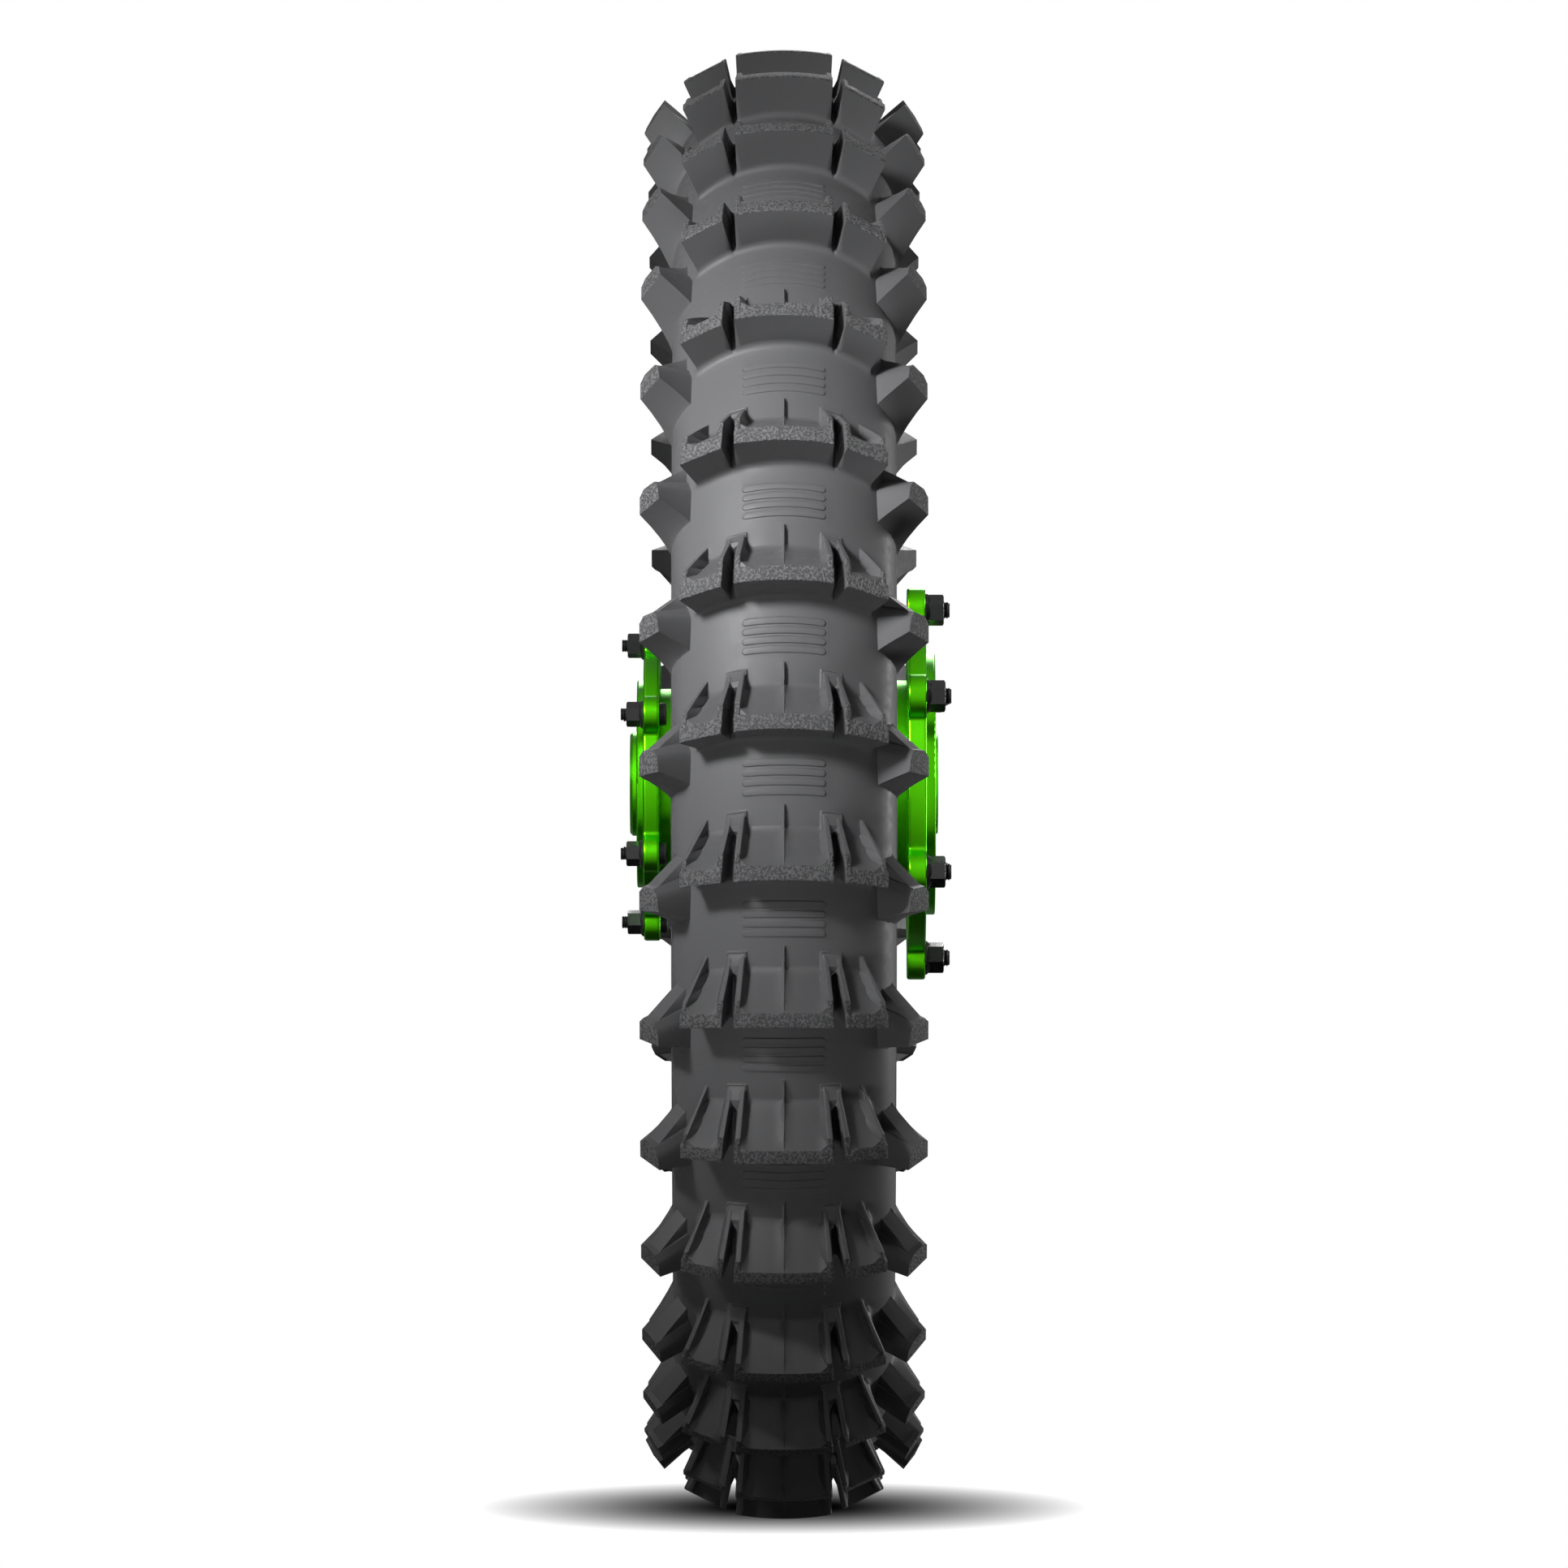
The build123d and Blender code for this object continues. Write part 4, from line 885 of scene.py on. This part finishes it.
def material(name, color, roughness, metallic=0.0, specular=0.5, coat=0.0):
    """A Principled material of one colour, for the next functions to vary."""
    made = bpy.data.materials.new(name)
    made.use_nodes = True
    shader = made.node_tree.nodes["Principled BSDF"]
    shader.inputs["Base Color"].default_value = (*color, 1.0)
    shader.inputs["Roughness"].default_value = roughness
    shader.inputs["Metallic"].default_value = metallic
    shader.inputs["Specular IOR Level"].default_value = specular
    shader.inputs["Coat Weight"].default_value = coat
    return made


def add_noise(made, scale, detail=2.0):
    """Noise in the piece's own coordinates."""
    nodes, links = made.node_tree.nodes, made.node_tree.links
    place = nodes.new("ShaderNodeTexCoord")
    noise = nodes.new("ShaderNodeTexNoise")
    noise.inputs["Scale"].default_value = scale
    noise.inputs["Detail"].default_value = detail
    noise.inputs["Roughness"].default_value = NOISE_ROUGHNESS
    links.new(place.outputs["Object"], noise.inputs["Vector"])
    return noise


def vary_roughness(made, source, roughness, spread):
    """Spreads the roughness about its value by a texture."""
    nodes, links = made.node_tree.nodes, made.node_tree.links
    span = nodes.new("ShaderNodeMapRange")
    span.inputs["From Min"].default_value, span.inputs["From Max"].default_value = NOISE_SPAN
    span.inputs["To Min"].default_value = roughness + spread[0]
    span.inputs["To Max"].default_value = roughness + spread[1]
    links.new(source.outputs[0], span.inputs["Value"])
    links.new(span.outputs[0], nodes["Principled BSDF"].inputs["Roughness"])


def add_bump(made, source, depth):
    """Bump of about this depth in millimetres."""
    nodes, links = made.node_tree.nodes, made.node_tree.links
    bump = nodes.new("ShaderNodeBump")
    bump.inputs["Distance"].default_value = depth * MM
    links.new(source.outputs[0], bump.inputs["Height"])
    links.new(bump.outputs["Normal"], nodes["Principled BSDF"].inputs["Normal"])


def rubber(name, color, roughness, grain_scale, grain_depth):
    """Matt rubber or plastic with a faint moulded grain."""
    made = material(name, color, roughness, specular=0.25)
    grain = add_noise(made, grain_scale, RUBBER_DETAIL)
    add_bump(made, grain, grain_depth)
    vary_roughness(made, grain, roughness, RUBBER_SPREAD)
    return made


def grained(name, low, high, roughness, scale, depth):
    """Rubber with a leathery grain: pale grains between darker, deeper valleys."""
    made = material(name, low, roughness, specular=0.2)
    nodes, links = made.node_tree.nodes, made.node_tree.links
    noise = add_noise(made, scale)
    step = nodes.new("ShaderNodeMapRange")
    step.interpolation_type = "SMOOTHSTEP"
    step.inputs["From Min"].default_value, step.inputs["From Max"].default_value = GRAIN_EDGE
    blend = nodes.new("ShaderNodeMix")
    blend.data_type = "RGBA"
    blend.inputs[MIX_LOW].default_value = (*low, 1.0)
    blend.inputs[MIX_HIGH].default_value = (*high, 1.0)
    links.new(noise.outputs[0], step.inputs["Value"])
    links.new(step.outputs[0], blend.inputs[0])
    links.new(blend.outputs[MIX_RESULT], nodes["Principled BSDF"].inputs["Base Color"])
    add_bump(made, step, depth)
    return made


def anodised(name, color):
    """Dyed aluminium with faint rings round the axle from turning."""
    made = material(name, color, ANODISED_ROUGHNESS, metallic=1.0)
    nodes, links = made.node_tree.nodes, made.node_tree.links
    place = nodes.new("ShaderNodeTexCoord")
    rings = nodes.new("ShaderNodeTexWave")
    rings.wave_type = "RINGS"
    rings.rings_direction = "Y"
    rings.inputs["Scale"].default_value = TURNING_SCALE
    rings.inputs["Distortion"].default_value = TURNING_DISTORTION
    rings.inputs["Detail"].default_value = TURNING_DETAIL
    links.new(place.outputs["Object"], rings.inputs["Vector"])
    add_bump(made, rings, TURNING_DEPTH)
    vary_roughness(made, add_noise(made, ANODISED_MOTTLE), ANODISED_ROUGHNESS, ANODISED_SPREAD)
    return made


def polished_black(name, color, roughness):
    """Black oxide on steel with a trace of oil."""
    made = material(name, color, roughness, specular=0.45, coat=0.1)
    vary_roughness(made, add_noise(made, OXIDE_MOTTLE), roughness, OXIDE_SPREAD)
    return made


def metal(name, color, roughness):
    """Bare metal with uneven polish."""
    made = material(name, color, roughness, metallic=1.0)
    vary_roughness(made, add_noise(made, METAL_MOTTLE), roughness, METAL_SPREAD)
    return made


def all_looks():
    """Every material, by its slot in the record, and the knobs' grained tops.

    Each is given as its function and what that takes after the name.
    """
    settings = {
        "tread_rubber": (rubber, (0.085, 0.085, 0.088), 0.5, 260.0, 0.03),
        "knob_tops": (grained, (0.052, 0.052, 0.054), (0.12, 0.12, 0.123), 0.6, 880.0, 0.28),
        "sidewall_rubber": (rubber, (0.07, 0.07, 0.073), 0.5, 300.0, 0.03),
        "cord_casing": (rubber, (0.06, 0.055, 0.05), 0.8, 700.0, 0.2),
        "tube_rubber": (rubber, (0.03, 0.03, 0.032), 0.5, 300.0, 0.02),
        "bead_steel": (metal, (0.45, 0.35, 0.2), 0.35),
        "rim_alloy": (anodised, (0.03, 0.03, 0.032)),
        "tape": (rubber, (0.05, 0.05, 0.05), 0.6, 300.0, 0.02),
        "spoke_steel": (metal, (0.6, 0.6, 0.61), 0.22),
        "nipple_steel": (metal, (0.55, 0.55, 0.56), 0.28),
        "valve_brass": (metal, (0.62, 0.52, 0.32), 0.3),
        "cap_plastic": (rubber, (0.015, 0.015, 0.015), 0.4, 500.0, 0.02),
        "lock_alloy": (metal, (0.45, 0.45, 0.46), 0.45),
        "zinc_steel": (metal, (0.6, 0.6, 0.6), 0.3),
        "hub_green": (anodised, GREEN),
        "spacer_green": (anodised, GREEN),
        "black_steel": (polished_black, (0.008, 0.008, 0.009), 0.3),
        "bearing_steel": (metal, (0.55, 0.55, 0.56), 0.2),
        "cage_steel": (metal, (0.45, 0.43, 0.38), 0.35),
        "seal_rubber": (rubber, (0.02, 0.02, 0.021), 0.45, 400.0, 0.02),
        "tube_alloy": (metal, (0.6, 0.6, 0.61), 0.35),
        "spring_steel": (metal, (0.1, 0.1, 0.1), 0.35),
    }
    return {name: maker(name, *values) for name, (maker, *values) in settings.items()}


def dress_cad():
    """Gives every CAD node the material of its slot."""
    for part in frame["record"]["subparts"]:
        obj = frame["nodes"][part["node"]]
        obj.data.materials.clear()
        obj.data.materials.append(looks[part["material_slot"]])


# Stage

FLOOR_HEIGHT = -OVERALL_RADIUS
FLOOR_HALF_SIZE = 12000.0
# Painted shadow: the floor's emission dims in an ellipse under the wheel, as no real shadow falls on it
SHADOW_CENTRE = -100.0  # along x
SHADOW_HALF_SIZES = (240.0, 142.0)
SHADOW_DARK = 0.13  # share of the shadow's size that is fully dark
SHADOW_POWER = 2.2  # how slowly it brightens from there
BACKDROP_COLOR = (1.0, 1.0, 1.0, 1.0)

# How bright the room is along one part of a ray's direction: (the part's span, levels at its ends)
ROOM_LIGHT = ((-0.6, 0.9), (0.02, 0.07))
ROOM_UP = ((-0.9, -0.2), (0.02, 0.9))
ROOM_FRONT = ((-0.9, 0.6), (0.15, 1.0))
ROOM_SIDE = ((0.3, 0.95), (1.0, 0.2))

WHEEL_CENTRE = (0.0, 0.0, 0.0)
BEAM_ANGLE = 18.0
CAMERA_DISTANCE = 6500.0
FRAME_WIDTH = 726.3  # what the camera sees across at the axle's distance
SENSOR_WIDTH = 36.0


def floor_material():
    """Plain white with a painted soft round shadow under the wheel: the emission dims towards the
    ellipse's middle.
    """
    made = bpy.data.materials.new("floor")
    made.use_nodes = True
    nodes, links = made.node_tree.nodes, made.node_tree.links
    nodes.remove(nodes["Principled BSDF"])
    white = nodes.new("ShaderNodeEmission")
    white.inputs["Color"].default_value = BACKDROP_COLOR
    place = nodes.new("ShaderNodeTexCoord")
    shift = nodes.new("ShaderNodeMapping")
    shift.vector_type = "TEXTURE"
    shift.inputs["Location"].default_value = (SHADOW_CENTRE * MM, 0.0, 0.0)
    shift.inputs["Scale"].default_value = (*(size * MM for size in SHADOW_HALF_SIZES), 1.0)
    length = nodes.new("ShaderNodeVectorMath")
    length.operation = "LENGTH"
    fade = nodes.new("ShaderNodeMapRange")
    fade.inputs["From Min"].default_value = SHADOW_DARK
    fade.inputs["From Max"].default_value = 1.0
    soft = nodes.new("ShaderNodeMath")
    soft.operation = "POWER"
    soft.inputs[1].default_value = SHADOW_POWER
    links.new(place.outputs["Object"], shift.inputs["Vector"])
    links.new(shift.outputs["Vector"], length.inputs[0])
    links.new(length.outputs["Value"], fade.inputs["Value"])
    links.new(fade.outputs[0], soft.inputs[0])
    links.new(soft.outputs[0], white.inputs["Strength"])
    links.new(white.outputs[0], nodes["Material Output"].inputs["Surface"])
    return made


def add_floor():
    """Floor that lights and shades nothing itself."""
    half = FLOOR_HALF_SIZE * MM
    mesh = bpy.data.meshes.new("floor")
    corners = [(-half, -half, 0.0), (half, -half, 0.0), (half, half, 0.0), (-half, half, 0.0)]
    mesh.from_pydata(corners, [], [(0, 1, 2, 3)])
    mesh.materials.append(floor_material())
    floor = bpy.data.objects.new("floor", mesh)
    floor.location.z = FLOOR_HEIGHT * MM
    floor.visible_diffuse = False
    floor.visible_glossy = False
    floor.visible_shadow = False
    bpy.context.scene.collection.objects.link(floor)


def place_light(name, data, place, target):
    """Light object at a place, aimed at a target, both in metres."""
    light = bpy.data.objects.new(name, data)
    light.location = place
    aim = Vector(target) - Vector(place)
    light.rotation_euler = aim.to_track_quat("-Z", "Y").to_euler()
    bpy.context.scene.collection.objects.link(light)
    return light


def add_softbox(name, place, size, power, glossy=True):
    """Rectangular light aimed at the wheel's centre, seen in reflections or not."""
    data = bpy.data.lights.new(name, "AREA")
    data.shape = "RECTANGLE"
    data.size, data.size_y = size
    data.energy = power
    light = place_light(name, data, place, WHEEL_CENTRE)
    light.visible_glossy = glossy


def add_spot(name, place, target, radius, power, glossy=True):
    """Soft light whose beam fades smoothly from its middle to its edge."""
    data = bpy.data.lights.new(name, "SPOT")
    data.shadow_soft_size = radius
    data.spot_size = math.radians(BEAM_ANGLE)
    data.spot_blend = 1.0
    data.energy = power
    light = place_light(name, data, place, target)
    light.visible_glossy = glossy


def ramp(world, source, span, levels):
    """A value that goes from one level to another as its source crosses a span."""
    nodes, links = world.node_tree.nodes, world.node_tree.links
    made = nodes.new("ShaderNodeMapRange")
    made.inputs["From Min"].default_value, made.inputs["From Max"].default_value = span
    made.inputs["To Min"].default_value, made.inputs["To Max"].default_value = levels
    links.new(source, made.inputs["Value"])
    return made.outputs[0]


def calculated(world, operation, *sources):
    """The result of a maths node."""
    nodes, links = world.node_tree.nodes, world.node_tree.links
    made = nodes.new("ShaderNodeMath")
    made.operation = operation
    for source, socket in zip(sources, made.inputs):
        links.new(source, socket)
    return made.outputs[0]


def background(world, strength=None):
    """White backdrop, as bright as its strength says or fully bright."""
    nodes, links = world.node_tree.nodes, world.node_tree.links
    made = nodes.new("ShaderNodeBackground")
    made.inputs["Color"].default_value = BACKDROP_COLOR
    if strength:
        links.new(strength, made.inputs["Strength"])
    return made.outputs[0]


def mixed(world, share, low, high):
    """The first shader where the share is 0, and the second where it is 1."""
    nodes, links = world.node_tree.nodes, world.node_tree.links
    made = nodes.new("ShaderNodeMixShader")
    links.new(share, made.inputs[0])
    links.new(low, made.inputs[1])
    links.new(high, made.inputs[2])
    return made.outputs[0]


def add_world():
    """White seen directly, a dim room as light, and bright walls in what the object reflects."""
    world = bpy.data.worlds.new("studio")
    world.use_nodes = True
    nodes, links = world.node_tree.nodes, world.node_tree.links
    nodes.remove(nodes["Background"])
    place = nodes.new("ShaderNodeTexCoord")
    way = nodes.new("ShaderNodeSeparateXYZ")
    links.new(place.outputs["Generated"], way.inputs[0])
    front, side, up = way.outputs
    dim = background(world, ramp(world, up, *ROOM_LIGHT))
    above = ramp(world, up, *ROOM_UP)
    ahead = ramp(world, front, *ROOM_FRONT)
    across = ramp(world, calculated(world, "ABSOLUTE", side), *ROOM_SIDE)
    level = calculated(world, "MULTIPLY", calculated(world, "MULTIPLY", above, ahead), across)
    path = nodes.new("ShaderNodeLightPath")
    indirect = mixed(world, path.outputs["Is Glossy Ray"], dim, background(world, level))
    shown = mixed(world, path.outputs["Is Camera Ray"], indirect, background(world))
    links.new(shown, nodes["World Output"].inputs["Surface"])
    bpy.context.scene.world = world


def add_lights():
    """A key from the front left, a bounce from below it, and soft lights all round."""
    add_spot("key", (1.26, -0.83, 0.76), target=(0.2, 0.0, 0.1), radius=0.22, power=360.0)
    add_spot("bounce", (1.2, -0.35, -0.7), target=(0.25, 0.0, 0.16), radius=0.3, power=100.0, glossy=False)
    add_softbox("front", (4.4, -1.8, 1.7), size=(2.0, 1.6), power=13.0, glossy=False)
    add_softbox("rim_right", (-1.3, 2.8, 0.3), size=(0.6, 1.8), power=62.0)
    add_softbox("side_right", (1.2, 3.6, 1.2), size=(0.8, 1.4), power=6.0)
    add_softbox("side_left", (0.2, -3.6, 1.2), size=(1.2, 1.4), power=7.0)
    add_softbox("back", (-5.0, 0.4, 2.4), size=(1.8, 1.8), power=90.0)


def add_camera():
    """Camera at axle height, square on to the tread."""
    data = bpy.data.cameras.new("camera")
    data.sensor_width = SENSOR_WIDTH
    data.lens = SENSOR_WIDTH * CAMERA_DISTANCE / FRAME_WIDTH
    camera = bpy.data.objects.new("camera", data)
    camera.location = (CAMERA_DISTANCE * MM, 0.0, 0.0)
    camera.rotation_euler = (math.radians(90.0), 0.0, math.radians(90.0))
    bpy.context.scene.collection.objects.link(camera)
    bpy.context.scene.camera = camera


bpy.context.scene.view_settings.view_transform = "Standard"
looks = all_looks()
dress_cad()
tread()
sidewalls()
fasteners()
add_floor()
add_world()
add_lights()
add_camera()
